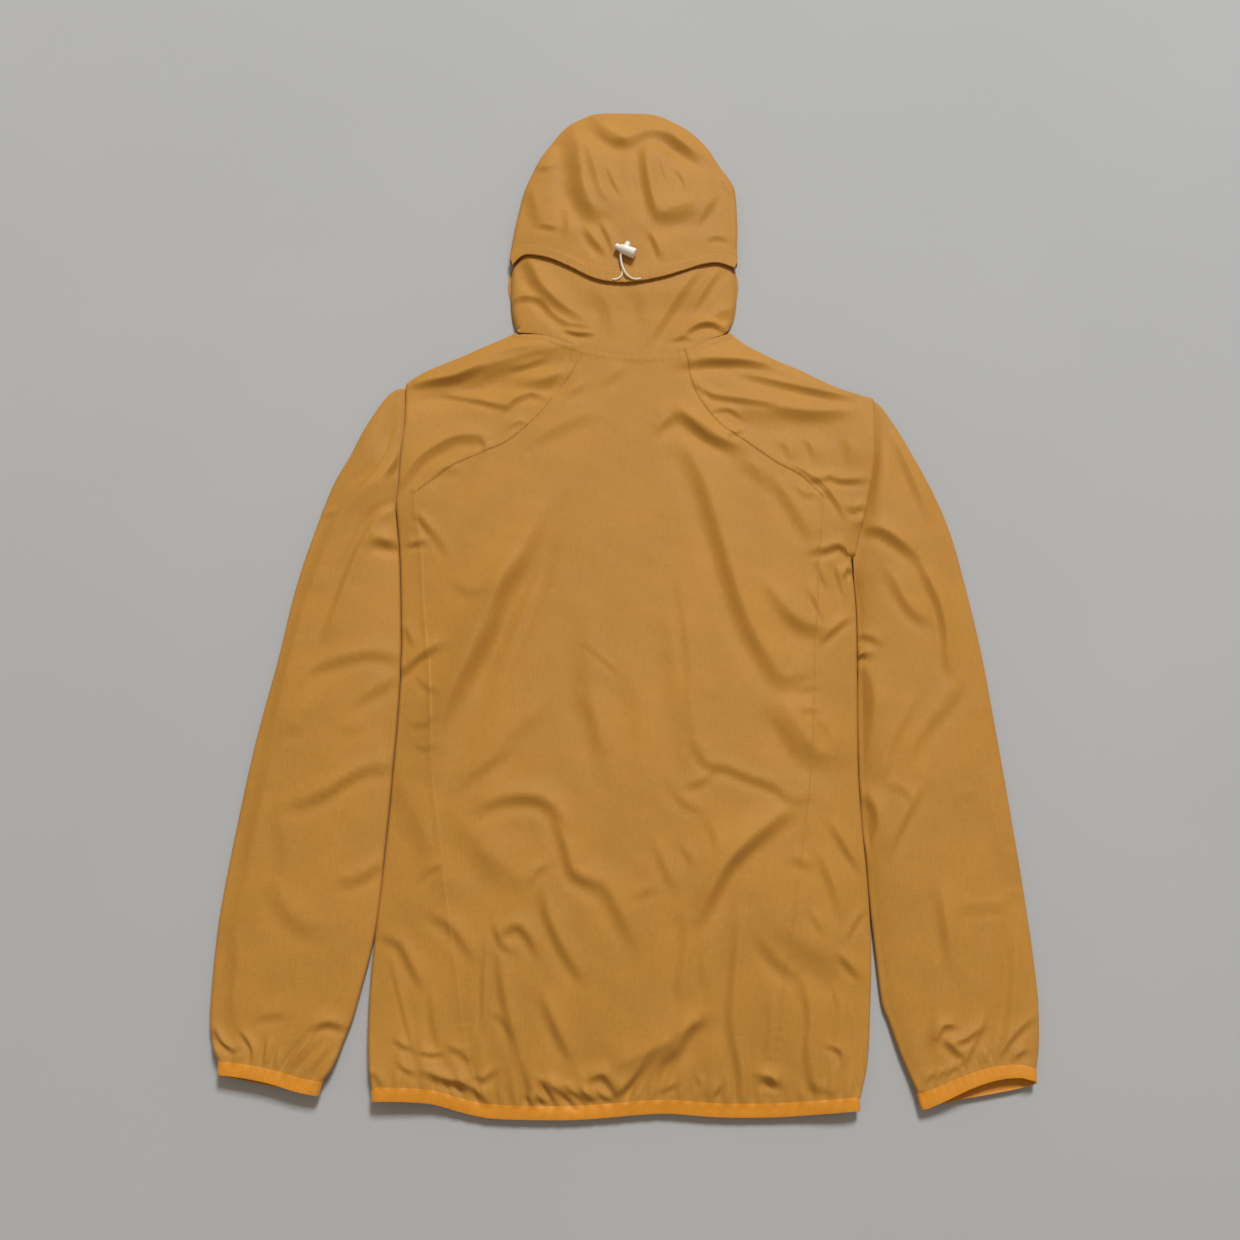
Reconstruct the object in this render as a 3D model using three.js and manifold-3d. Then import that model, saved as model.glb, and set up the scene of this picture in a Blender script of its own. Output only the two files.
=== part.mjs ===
// A light hooded track jacket that lies flat on its front, back up, arms beside the body.
// Millimetres. +Z is up, +Y points from the hem to the hood, +X to the wearer's right arm.
// The floor is z = 0. Every cut piece of cloth is a thin closed wall of its own: a surface
// worked out from seam lines and a height, doubled inwards by the wall's thickness.
import * as THREE from "three";
import { mergeVertices } from "three/addons/utils/BufferGeometryUtils.js";
import Module from "manifold-3d";

// ---------------------------------------------------------------- driving dimensions
const wall = 1.5; // every cloth wall
const seamGap = 0.3; // between two pieces that are sewn together
const bindingHeight = 10; // elastic binding at hem and cuffs
const bindingWall = 2.2;
const edgeHeight = 8; // the body's two layers at a side fold
const foldRadius = 4.5; // how far a side fold rounds over, seen from above
const underStrip = 25; // how far side bodies and raglan tops turn under
const armGap = 1; // between a sleeve and the body beside it
const tuckLift = 7.4; // underside of the raglan top where it lies over the sleeve
const zipWidth = 14;
const zipTopY = 285;
const centre = [1.67, -2.31]; // middle of the laid-out jacket in the seam lines' own sizes

// ---------------------------------------------------------------- small tools
const clamp01 = (t) => Math.min(1, Math.max(0, t));
const mix = (a, b, t) => a + (b - a) * t;
const between = (a, b, x) => clamp01((x - a) / (b - a));
const ease = (t) => t * t * (3 - 2 * t);
const step = (a, b, x) => ease(between(a, b, x));
const bell = (x) => Math.exp(-x * x);
const rampIn = (gap, reach) => 1 - (1 - clamp01(gap / reach)) ** 2;
const range = (n) => Array.from({ length: n + 1 }, (_, k) => k / n);

// A table with named columns, a row for each section or fold.
function table(names, ...rows) {
  const keys = names.split(" ");
  return rows.map((row) => Object.fromEntries(row.map((value, k) => [keys[k], value])));
}

// One column of a table as a smooth function of another column.
function column(rows, key, name) {
  const at = rows.map((row) => row[key]);
  const value = rows.map((row) => row[name]);
  const last = rows.length - 1;
  const slope = at.map((_, k) => {
    const low = Math.max(k - 1, 0);
    const high = Math.min(k + 1, last);
    return (value[high] - value[low]) / (at[high] - at[low]);
  });
  return (x) => {
    const inside = Math.min(Math.max(x, at[0]), at[last]);
    let k = 0;
    while (k < last - 1 && inside > at[k + 1]) k += 1;
    const span = at[k + 1] - at[k];
    const t = (inside - at[k]) / span;
    const start = (1 + 2 * t) * (1 - t) ** 2 * value[k] + t * (1 - t) ** 2 * span * slope[k];
    const end = t * t * (3 - 2 * t) * value[k + 1] + t * t * (t - 1) * span * slope[k + 1];
    return start + end;
  };
}

// Plan curves are functions of 0..1 that give [x, y].
function spline(...points) {
  const curve = new THREE.SplineCurve(points.map(([x, y]) => new THREE.Vector2(x, y)));
  return (t) => curve.getPointAt(clamp01(t)).toArray();
}
const joined = (share, first, second) => (t) =>
  t < share ? first(t / share) : second((t - share) / (1 - share));
const stretch = (curve, from, to) => (t) => curve(mix(from, to, t));
const rising = (xAt, low, high) => (t) => [xAt(mix(low, high, t)), mix(low, high, t)];

// The unit vector to the left of a plan curve's travel.
function leftOf(curve, t) {
  const [x0, y0] = curve(Math.max(t - 0.004, 0));
  const [x1, y1] = curve(Math.min(t + 0.004, 1));
  const length = Math.hypot(x1 - x0, y1 - y0);
  return [-(y1 - y0) / length, (x1 - x0) / length];
}

// A curve moved sideways, positive to the left of its travel.
const shifted = (curve, by) => (t) => {
  const [x, y] = curve(t);
  const [nx, ny] = leftOf(curve, t);
  const amount = typeof by === "function" ? by(t) : by;
  return [x + nx * amount, y + ny * amount];
};

// A plan patch between four curves: west and east run from south to north.
function patch({ west, east, south, north }) {
  const corners = [south(0), south(1), north(0), north(1)];
  return (u, v) => [0, 1].map((axis) => {
    const sides = mix(west(v)[axis], east(v)[axis], u) + mix(south(u)[axis], north(u)[axis], v);
    const low = mix(corners[0][axis], corners[1][axis], u);
    const high = mix(corners[2][axis], corners[3][axis], u);
    return sides - mix(low, high, v);
  });
}

// ---------------------------------------------------------------- walls
// A closed wall from rows of samples. surface(u, v) gives the outer point, rows hold v and
// their own list of u, thickness may vary. Neighbouring rows with other counts are zipped.
// Where lean is 1 the wall goes straight down instead, where it is -1 straight up, so that
// the rims of two pieces that meet at a seam stay side by side.
function wallGeometry(options) {
  const { surface, rows, thickness = wall, loop = false, flip = false } = options;
  const { lean = () => 0 } = options;
  const thick = typeof thickness === "function" ? thickness : () => thickness;
  const positions = [];
  const faces = [];
  const small = 0.002;
  const point = (u, v) => new THREE.Vector3(...surface(u, v));
  const outer = [];
  const inner = [];
  const uNow = (u) => (loop ? u : clamp01(u));
  for (const { v, us } of rows) {
    const outerRow = [];
    const innerRow = [];
    for (const u of us) {
      const across = point(uNow(u + small), v).sub(point(uNow(u - small), v));
      const along = point(u, clamp01(v + small)).sub(point(u, clamp01(v - small)));
      const inwards = across.cross(along).normalize().multiplyScalar(flip ? 1 : -1);
      const leaning = lean(u, v);
      inwards.lerp(new THREE.Vector3(0, 0, -Math.sign(leaning)), Math.abs(leaning)).normalize();
      const place = point(u, v);
      outerRow.push(positions.length);
      positions.push(place);
      innerRow.push(positions.length);
      positions.push(place.clone().addScaledVector(inwards, thick(u, v)));
    }
    if (loop) {
      outerRow.push(outerRow[0]);
      innerRow.push(innerRow[0]);
    }
    outer.push(outerRow);
    inner.push(innerRow);
  }
  const quad = (a, b, c, d) => faces.push([a, b, c], [a, c, d]);
  for (let k = 0; k + 1 < rows.length; k += 1) {
    const low = loop ? [...rows[k].us, 1] : rows[k].us;
    const high = loop ? [...rows[k + 1].us, 1] : rows[k + 1].us;
    let i = 0;
    let j = 0;
    while (i < low.length - 1 || j < high.length - 1) {
      const nextLow = i < low.length - 1 ? low[i + 1] : Infinity;
      const nextHigh = j < high.length - 1 ? high[j + 1] : Infinity;
      if (nextLow + low[i] * 1e-9 <= nextHigh) {
        faces.push([outer[k][i], outer[k][i + 1], outer[k + 1][j]]);
        faces.push([inner[k][i], inner[k + 1][j], inner[k][i + 1]]);
        i += 1;
      } else {
        faces.push([outer[k][i], outer[k + 1][j + 1], outer[k + 1][j]]);
        faces.push([inner[k][i], inner[k + 1][j], inner[k + 1][j + 1]]);
        j += 1;
      }
    }
    if (!loop) {
      const endLow = outer[k].length - 1;
      const endHigh = outer[k + 1].length - 1;
      quad(outer[k][0], outer[k + 1][0], inner[k + 1][0], inner[k][0]);
      quad(outer[k][endLow], inner[k][endLow], inner[k + 1][endHigh], outer[k + 1][endHigh]);
    }
  }
  const lastRow = rows.length - 1;
  for (let i = 0; i + 1 < outer[0].length; i += 1) {
    quad(outer[0][i], inner[0][i], inner[0][i + 1], outer[0][i + 1]);
  }
  for (let i = 0; i + 1 < outer[lastRow].length; i += 1) {
    quad(outer[lastRow][i], outer[lastRow][i + 1], inner[lastRow][i + 1], inner[lastRow][i]);
  }
  const geometry = new THREE.BufferGeometry();
  const corners = positions.flatMap((p) => p.toArray());
  geometry.setAttribute("position", new THREE.Float32BufferAttribute(corners, 3));
  geometry.setIndex(faces.flatMap(([a, b, c]) => (flip ? [a, c, b] : [a, b, c])));
  geometry.computeVertexNormals();
  return geometry;
}

const garment = new THREE.Group();

function add(name, geometry, material) {
  const mesh = new THREE.Mesh(geometry, material);
  mesh.name = name;
  garment.add(mesh);
  return mesh;
}

const cloth = (color) => new THREE.MeshStandardMaterial({ color, roughness: 0.85, metalness: 0 });
const ochre = () => cloth(0xb98a42);
const orange = () => cloth(0xdd8a26);
const white = () => new THREE.MeshStandardMaterial({ color: 0xe9e4da, roughness: 0.45, metalness: 0 });

// ---------------------------------------------------------------- body lines
// Side folds and princess seams, a row for each height along the body.
const body = table(
  "y leftEdge leftSeam rightSeam rightEdge fill",
  [-475, -201, -112.5, 118.5, 191.5, -1],
  [-440, -208.5, -125, 124, 201.5, 2.5],
  [-400, -211.2, -133.5, 130.3, 206.2, 5],
  [-350, -209.8, -141.5, 139.5, 209.8, 7],
  [-300, -206.2, -150.5, 147.5, 209.8, 8.5],
  [-250, -203.2, -158, 156, 207.8, 9],
  [-200, -200.8, -166, 163.5, 206.8, 9],
  [-150, -199, -168.5, 167.5, 208.7, 8.5],
  [-100, -198.5, -173, 171.5, 211, 8],
  [-50, -201, -180, 175.5, 212.6, 7.5],
  [0, -204.6, -184, 180, 210.8, 7],
  [60, -210.5, -192, 185, 210.8, 6.5],
  [215, -210.5, -192, 185, 210.8, 5],
);
const leftEdge = column(body, "y", "leftEdge");
const rightEdge = column(body, "y", "rightEdge");
const leftSeam = column(body, "y", "leftSeam");
const rightSeam = column(body, "y", "rightSeam");
const bodyFill = column(body, "y", "fill");

// The hem's lowest line and the shoulder line, from left to right.
const hem = table(
  "x y",
  [-205, -468.5],
  [-176, -469],
  [-154, -471],
  [-132, -477],
  [-110, -481.5],
  [-80, -483],
  [-37, -483],
  [-8, -481],
  [16, -479],
  [38, -478.3],
  [78, -481],
  [124, -481],
  [155, -479],
  [192, -476],
);
const hemY = column(hem, "x", "y");
const clothEndY = (x) => hemY(x) + bindingHeight + seamGap;
const shoulder = table(
  "x y",
  [-207, 173],
  [-182, 189],
  [-134, 213],
  [-103, 229],
  [-70, 262],
  [70, 262],
  [104, 231],
  [121, 216],
  [146, 201],
  [172, 189],
  [205, 170],
  [240, 158],
);
const shoulderY = column(shoulder, "x", "y");

const neckSeam = spline(
  [-103, 229],
  [-73, 223],
  [-41.4, 211.3],
  [-15, 205],
  [12, 201.7],
  [39, 202.7],
  [60.5, 207.1],
  [77, 216],
  [104, 230],
);
const neckCorner = { left: 0.292, right: 0.773 }; // where the raglan seams meet the neck seam
const neckY = (x) => {
  let low = 0;
  let high = 1;
  for (let k = 0; k < 24; k += 1) {
    const middle = (low + high) / 2;
    if (neckSeam(middle)[0] < x) low = middle;
    else high = middle;
  }
  return neckSeam(low)[1];
};

// Raglan seams from the armpit up to the neck, princess seams end on them.
const raglanLeft = spline([-192, 60.7], [-176, 74], [-158, 88], [-131, 101], [-106.6, 113.3],
  [-80.4, 138], [-66, 158], [-46, 188], neckSeam(neckCorner.left));
const raglanRight = spline([185, 59.5], [166.4, 78.5], [143.5, 91.2], [117.3, 111.1], [92.6, 129.4],
  [74.5, 155.1], [66.3, 175.8], [63, 196], neckSeam(neckCorner.right));
// Below that crossing they run on to the side folds.
const armpitLeft = spline([-205.8, 51.5], [-199, 55.3], [-192, 60.7]);
const armpitRight = spline([206.3, 2], [205, 14], [200.9, 32], [193, 47.5], [185, 59.5]);
const capStart = { left: 0.5, right: 0.42 }; // where the raglan top's inner edge begins on them

// Shoulder folds from the neck outwards, then the folds where the arms turn under.
const shoulderLeft = spline([-103, 229], [-134, 213], [-182, 189], [-206.7, 172.5]);
const armFoldLeft = spline([-206.7, 172.5], [-205.4, 135], [-207.2, 112], [-208, 78], [-209.8, 52]);
const shoulderRight = spline([104, 230], [121, 216], [146, 201], [172, 189], [205, 170], [240, 158]);
const armFoldRight = spline([240, 158], [237, 97], [227.5, 50], [220.5, 27], [214.8, 4]);
const armFoldLeftX = (y) => mix(-208.5, -205.8, step(60, 130, y));
const armFoldRightX = (y) => mix(213.5, 239, between(-5, 130, y) ** 0.8);

// ---------------------------------------------------------------- heights
// Largest folds. Each runs from 1 through 2 to 3, with a ridge to the left of its travel and
// a trough to the right, both fading at its ends.
const foldColumns = "x1 y1 x2 y2 x3 y3 ridge trough width";
const bodyFolds = table(
  foldColumns,
  [73, 97, 84, 47, 100, -53, 1.6, 2.2, 9],
  [96, -40, 110, -95, 152, -116, 2, 2.6, 9],
  [37, 123, 55, 140, 100, 107, 1.6, 1.2, 8],
  [143, 72, 155, 49, 169, 23, 1, 1.4, 8],
  [168, 2, 187, -1, 204, 5, 1.6, 1.8, 6],
  [178, -80, 192, -70, 204, -62, 1.4, 1.6, 6],
  [58, -172, 84, -196, 158, -227, 1.4, 2, 7],
  [144, -238, 94, -280, 69, -322, -2, -1.6, 9],
  [-200, -114, -185, -98, -163, -86, 1.8, 2.4, 7],
  [-100, -14, -122, -75, -147, -139, -1.4, -1.2, 10],
  [-121, -232, -80, -217, -52, -245, 1.6, 2, 8],
  [-56, -240, -46, -290, 1, -334, 1.6, 1.8, 8],
  [-71, -300, -60, -335, -40, -369, 1.2, 1.8, 8],
  [-107, -333, -93, -338, -77, -350, 1.6, 1.8, 7],
  [-103, -363, -96, -420, -78, -462, 1.2, 1.8, 7],
  [-63, -400, -57, -420, -49, -440, 1, 1.5, 7],
  [91, -373, 88, -410, 97, -458, 1.2, 1.7, 7],
  [148, -377, 151, -420, 157, -458, 1.2, 1.6, 7],
  [-141, -448, -126, -456, -108, -464, 1.2, 1.4, 5],
  [-24, -448, -12, -458, 16, -430, 1.2, 1.8, 7],
  [37, -440, 50, -422, 67, -406, 1.4, 1.6, 7],
  [-75, 110, -42, 136, -21, 150, 1, 1.2, 9],
  [59, -60, 60, -108, 58, -158, 0.9, 1, 12],
  [-160, 177, -112, 184, -62, 176, 1.2, 1.8, 10],
  [-200, 78, -176, 107, -124, 121, 1.4, 1.8, 9],
  [64, 190, 105, 193, 200, 163, 1.2, 1.6, 8],
  [93, 156, 148, 142, 192, 142, 1, 1.4, 9],
  [158, 88, 187, 72, 199, 43, 1, 1.4, 8],
);
const leftArmFolds = table(
  foldColumns,
  [-212, 141, -268, 27, -306, -104, 1.4, 1.6, 12],
  [-306, -104, -321, -215, -331, -307, 1.2, 1.4, 12],
  [-213, 54, -234, 27, -254, -18, 1.2, 1.4, 9],
  [-276, -107, -240, -96, -204, -94, 1.4, 1.6, 8],
  [-287, -228, -247, -207, -204, -194, 1.8, 2.2, 9],
  [-243, -295, -224, -289, -208, -280, 1.6, 1.8, 7],
  [-287, -312, -280, -322, -272, -334, 1, 1.2, 7],
);
const rightArmFolds = table(
  foldColumns,
  [226, 28, 256, 18, 284, -24, 1.4, 1.8, 8],
  [243, -16, 257, -46, 265, -64, 1.2, 1.4, 7],
  [278, -24, 290, -58, 289, -86, 1, 1.4, 8],
  [216, -74, 225, -79, 236, -84, 1.2, 1.4, 6],
  [211, -112, 224, -148, 210, -194, 1, 1.6, 8],
  [207, -224, 218, -243, 212, -272, 1.2, 1.4, 7],
  [329, -337, 325, -390, 314, -432, 1, 1.2, 8],
  [271, -330, 273, -348, 272, -368, 0.8, 1, 7],
);
const crownFolds = table(
  foldColumns,
  [-24, 461, 1, 438, 32, 457, 2, 2.6, 8],
  [-53, 441, -45, 390, -29, 350, 2, 2.4, 8],
  [-33, 414, -20, 390, -10, 361, 1.4, 1.4, 6],
  [22, 410, 29, 378, 30, 342, 1.6, 2, 7],
  [46, 448, 63, 430, 86, 415, 1.8, 2.2, 8],
  [38, 349, 57, 355, 76, 363, 1.2, 1.8, 9],
  [94, 372, 85, 353, 75, 337, -1, -1.2, 7],
  [-30, 331, -24, 321, -20, 312, 1, 1, 5],
  [28, 331, 34, 316, 31, 303, 1.2, 1.4, 5],
);
const neckFolds = table(
  foldColumns,
  [-94, 300, -74, 277, -38, 240, 1.8, 2.2, 8],
  [36, 222, 56, 260, 74, 292, -1.4, -1.6, 8],
  [75, 255, 85, 268, 99, 292, -1.2, -1.2, 6],
);

// Each fold's path as short straight steps, worked out once.
function traced(folds) {
  return folds.map((fold) => {
    const bend = [2 * fold.x2 - (fold.x1 + fold.x3) / 2, 2 * fold.y2 - (fold.y1 + fold.y3) / 2];
    const path = range(12).map((t) => [
      (1 - t) ** 2 * fold.x1 + 2 * t * (1 - t) * bend[0] + t * t * fold.x3,
      (1 - t) ** 2 * fold.y1 + 2 * t * (1 - t) * bend[1] + t * t * fold.y3,
    ]);
    return { ...fold, path };
  });
}

function relief(folds, x, y) {
  let height = 0;
  for (const { path, ridge, trough, width } of folds) {
    let best = { gap: Infinity };
    for (let k = 0; k + 1 < path.length; k += 1) {
      const [ax, ay] = path[k];
      const dx = path[k + 1][0] - ax;
      const dy = path[k + 1][1] - ay;
      const length = Math.hypot(dx, dy);
      const t = clamp01(((x - ax) * dx + (y - ay) * dy) / length ** 2);
      const gap = Math.hypot(x - ax - t * dx, y - ay - t * dy);
      if (gap < best.gap) {
        const side = (dx * (y - ay) - dy * (x - ax)) / length;
        best = { gap, side, at: (k + t) / (path.length - 1) };
      }
    }
    if (best.gap > 4 * width) continue;
    const away = Math.sqrt(Math.max(best.gap ** 2 - best.side ** 2, 0)) / width;
    const fade = Math.sqrt(Math.max(Math.sin(Math.PI * mix(0.06, 0.94, best.at)), 0)) * bell(away);
    height += fade * ridge * bell((best.side - 0.8 * width) / width);
    height -= fade * trough * bell((best.side + 0.8 * width) / width);
  }
  return height;
}

const folds = {
  body: traced(bodyFolds),
  leftArm: traced(leftArmFolds),
  rightArm: traced(rightArmFolds),
  crown: traced(crownFolds),
  neck: traced(neckFolds),
};

// The hem's ends curl up off the floor.
function floorLift(x, y) {
  const left = 5.5 * step(-115, -190, x) * step(-400, -470, y);
  const right = 3.5 * step(125, 185, x) * step(-410, -472, y);
  return left + right;
}

// Gathers that the elastic hem draws into the cloth, uneven in pitch, depth and length.
const hemGather = { pitch: 15.5, depth: 1.25, reach: 42 };
function gathers(x, y) {
  const above = y - clothEndY(x);
  const phase = x / hemGather.pitch + 0.3 * Math.sin(x / 31) + 0.18 * Math.sin(x / 13 + 2);
  const uneven = 0.75 + 0.35 * Math.sin(x / 22 + 1) + 0.2 * Math.sin(x / 9);
  const reach = hemGather.reach * (1 + 0.35 * Math.sin(x / 17 + 0.5));
  const envelope = mix(0.35, 1, clamp01(above / 9)) * Math.exp(-Math.max(above, 0) / reach);
  return hemGather.depth * uneven * envelope * Math.cos(2 * Math.PI * phase);
}

// Outer surface of the body's upper layer.
function bodyTop(x, y) {
  const sides = rampIn(x - leftEdge(y), 95) * rampIn(rightEdge(y) - x, 95);
  const onShoulder = rampIn(shoulderY(x) - y, 70);
  const armLeft = bell((x - armFoldLeftX(y)) / 34) * step(0, 60, y);
  const armRight = bell((armFoldRightX(y) - x) / 36) * step(-45, 25, y);
  const overArms = 5.6 * Math.max(armLeft, armRight) * mix(0.35, 1, between(0, 40, shoulderY(x) - y));
  const fill = bodyFill(y) * mix(sides, Math.max(sides, 0.35), step(60, 120, y)) * onShoulder;
  return floorLift(x, y) + edgeHeight + fill + overArms + relief(folds.body, x, y) + gathers(x, y);
}

// ---------------------------------------------------------------- body panels
// Rows up the body: close together over the gathers, wider above. Both sides of a seam use
// the same rows, so their edges run side by side.
const bodyLow = -471;
const bodyRise = [0, 5, 11, 19, 29, 42, 58, ...range(22).map((t) => mix(77, 530, t))];
const princessRows = bodyRise.map((rise) => rise / 530);
const raglanRows = range(9);
const princessShare = 0.7;
const armpitShare = 0.15;
const backRows = [
  ...princessRows.map((t) => t * princessShare),
  ...raglanRows.slice(1).map((t) => mix(princessShare, 1, t)),
];
const fineRows = 5; // rows that carry the hem's gathers at full detail
const countedRows = (list, fine, coarse) => list.map((v, k) => {
  if (k < fineRows) return { v, us: range(fine) };
  if (k < fineRows + 2) return { v, us: range(Math.round((fine + coarse) / 2)) };
  return { v, us: range(coarse) };
});

// A seam line from the hem up to the raglan seam; its foot lies on the hem.
const princess = (xAt, top) => (t) => {
  const foot = clothEndY(xAt(bodyLow));
  const y = mix(foot, top[1], t);
  return [mix(xAt(y), top[0], step(20, 60, y)), y];
};
const princessLeft = princess(leftSeam, [-192, 60.7]);
const princessRight = princess(rightSeam, [185, 59.5]);
const hemLine = (from, to) => (t) => {
  const x = mix(from, to, t);
  return [x, clothEndY(x)];
};

function backPanel() {
  const west = shifted(joined(princessShare, princessLeft, raglanLeft), -seamGap / 2);
  const east = shifted(joined(princessShare, princessRight, raglanRight), seamGap / 2);
  const north = shifted(stretch(neckSeam, neckCorner.left, neckCorner.right), -seamGap / 2);
  const plan = patch({ west, east, south: hemLine(west(0)[0], east(0)[0]), north });
  const surface = (u, v) => {
    const [x, y] = plan(u, v);
    return [x, y, bodyTop(x, y)];
  };
  return wallGeometry({ surface, rows: countedRows(backRows, 42, 19), lean: () => 1 });
}

// Adds a fold to a panel's outer side: over the edge, down, and back in along the floor.
// u runs 0..1 over the top, 1..2 round the fold and 2..3 under; it is squeezed into 0..1.
function foldedSurface({ plan, top, outwards, radius = foldRadius, under, floor, share = [0.6, 0.25] }) {
  const [topShare, roundShare] = share;
  return (u, v) => {
    if (u <= topShare) {
      const [x, y] = plan(u / topShare, v);
      return [x, y, top(x, y)];
    }
    const [ex, ey] = plan(1, v);
    const [nx, ny] = outwards(v);
    const low = floor(v, ex, ey);
    const half = Math.max(top(ex, ey) - low, 3.6) / 2;
    const middle = top(ex, ey) - half;
    if (u <= topShare + roundShare) {
      const turn = Math.PI * ((u - topShare) / roundShare);
      const out = radius * Math.sin(turn);
      return [ex + nx * out, ey + ny * out, middle + half * Math.cos(turn)];
    }
    const back = under(v) * ((u - topShare - roundShare) / (1 - topShare - roundShare));
    const x = ex - nx * back;
    const y = ey - ny * back;
    return [x, y, middle - half + floor(v, x, y) - low];
  };
}
const foldLean = (share) => (u) => {
  const atSeam = 1 - step(0.25, 0.95, u / share[0]);
  return atSeam - between(share[0] + share[1], mix(share[0] + share[1], 1, 0.5), u);
};
const foldSamples = (tops, share, rounds = 5, unders = 2) => [
  ...range(tops).map((t) => t * share[0]),
  ...range(rounds).slice(1).map((t) => share[0] + t * share[1]),
  ...range(unders).slice(1).map((t) => mix(share[0] + share[1], 1, t)),
];

// Both pieces that meet at the armpit put their corners at the same places along it.
const armpitSamples = (side) => [
  ...range(3).map((t) => t * (1 - capStart[side])),
  ...range(8).slice(1).map((t) => 1 - capStart[side] * (1 - t)),
];

function sidePanel(side) {
  const left = side === "left";
  const sign = left ? -1 : 1;
  const seam = left ? princessLeft : princessRight;
  const edgeX = left ? leftEdge : rightEdge;
  const armpit = left ? armpitLeft : armpitRight;
  const inner = shifted(seam, (sign * -seamGap) / 2);
  const top = shifted(armpit, (sign * seamGap) / 2);
  const foldX = (y) => edgeX(y) - sign * foldRadius;
  // The outer edge rises with the seam, then stops at the foot of the raglan seam.
  const slowFrom = -120;
  const outer = (t) => {
    const seamY = seam(t)[1];
    const foot = clothEndY(edgeX(bodyLow + 8)) - seam(0)[1];
    const level = seamY + foot * (1 - step(bodyLow, bodyLow + 90, seamY));
    const rise = between(slowFrom, seam(1)[1], seamY);
    const lag = (seam(1)[1] - top(0)[1]) * rise ** 2;
    return [mix(foldX(level - lag), top(0)[0], step(0.97, 1, t)), level - lag];
  };
  const share = [0.5, 0.3];
  const surface = foldedSurface({
    plan: patch({
      west: inner,
      east: outer,
      south: hemLine(inner(0)[0], outer(0)[0]),
      north: (t) => top(1 - t),
    }),
    top: bodyTop,
    outwards: () => [sign, 0],
    under: () => underStrip - foldRadius,
    floor: (v, x, y) => floorLift(x, y),
    share,
  });
  const rows = princessRows.map((v, k) => ({ v, us: foldSamples(k < fineRows ? 12 : 3, share, 4, 1) }));
  rows.at(-1).us = [...armpitSamples(side).map((t) => t * share[0]), ...foldSamples(1, share, 4, 1).slice(2)];
  return wallGeometry({ surface, rows, flip: left, lean: foldLean(share) });
}

function sleeveCap(side) {
  const left = side === "left";
  const sign = left ? -1 : 1;
  const fold = left ? armFoldLeft : armFoldRight;
  const shoulderFold = left ? shoulderLeft : shoulderRight;
  const armpit = shifted(left ? armpitLeft : armpitRight, (-sign * seamGap) / 2);
  const raglan = shifted(left ? raglanLeft : raglanRight, (-sign * seamGap) / 2);
  const tipShare = 0.5;
  const start = capStart[side];
  const radius = 4;
  // v runs from the armpit to the neck.
  const inner = joined(armpitShare, stretch(armpit, start, 1), raglan);
  const edge = joined(tipShare, (t) => fold(1 - t), (t) => shoulderFold(1 - t));
  const outwards = (v) => {
    const [nx, ny] = leftOf(edge, mix(0.01, 0.99, v));
    const turn = step(0.4, 0.6, v);
    const aim = [mix(sign, left ? -0.46 : 0.42, turn), mix(0.05, 0.88, turn)];
    const x = -sign * nx + 2 * aim[0];
    const y = -sign * ny + 2 * aim[1];
    return [x / Math.hypot(x, y), y / Math.hypot(x, y)];
  };
  const outer = (v) => {
    const [x, y] = edge(v);
    const [nx, ny] = outwards(v);
    return [x - nx * radius, y - ny * radius];
  };
  const ending = (curve, t, end) => {
    const [x, y] = curve(t);
    const [lastX, lastY] = curve(1);
    return [x + (end[0] - lastX) * t ** 3, y + (end[1] - lastY) * t ** 3];
  };
  const neckEnd = left ? 0 : 1;
  const neck = shifted(stretch(neckSeam, neckCorner[side], neckEnd), (sign * seamGap) / 2);
  const overArm = (v) => 1 - step(0.56, 0.76, v);
  const share = [0.6, 0.25];
  const surface = foldedSurface({
    plan: patch({
      west: inner,
      east: outer,
      south: (t) => ending(stretch(armpit, start, 0), t, outer(0)),
      north: (t) => ending(neck, t, outer(1)),
    }),
    top: bodyTop,
    outwards,
    radius,
    under: (v) => mix(underStrip - radius, 5, 1 - step(0.6, 0.8, v)),
    floor: (v) => tuckLift * overArm(v),
    share,
  });
  const rows = [
    ...range(3).map((t) => t * armpitShare),
    ...raglanRows.slice(1).map((t) => mix(armpitShare, 1, t)),
  ];
  return wallGeometry({
    surface,
    rows: rows.map((v) => ({ v, us: foldSamples(8, share, 4, 1) })),
    flip: left,
    lean: foldLean(share),
  });
}

// ---------------------------------------------------------------- front, hidden underneath
function flatPiece({ plan, rows, flip }) {
  const surface = (u, v) => {
    const [x, y] = plan(u, v);
    return [x, y, floorLift(x, y)];
  };
  return wallGeometry({ surface, rows, flip, lean: () => -1 });
}

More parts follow.
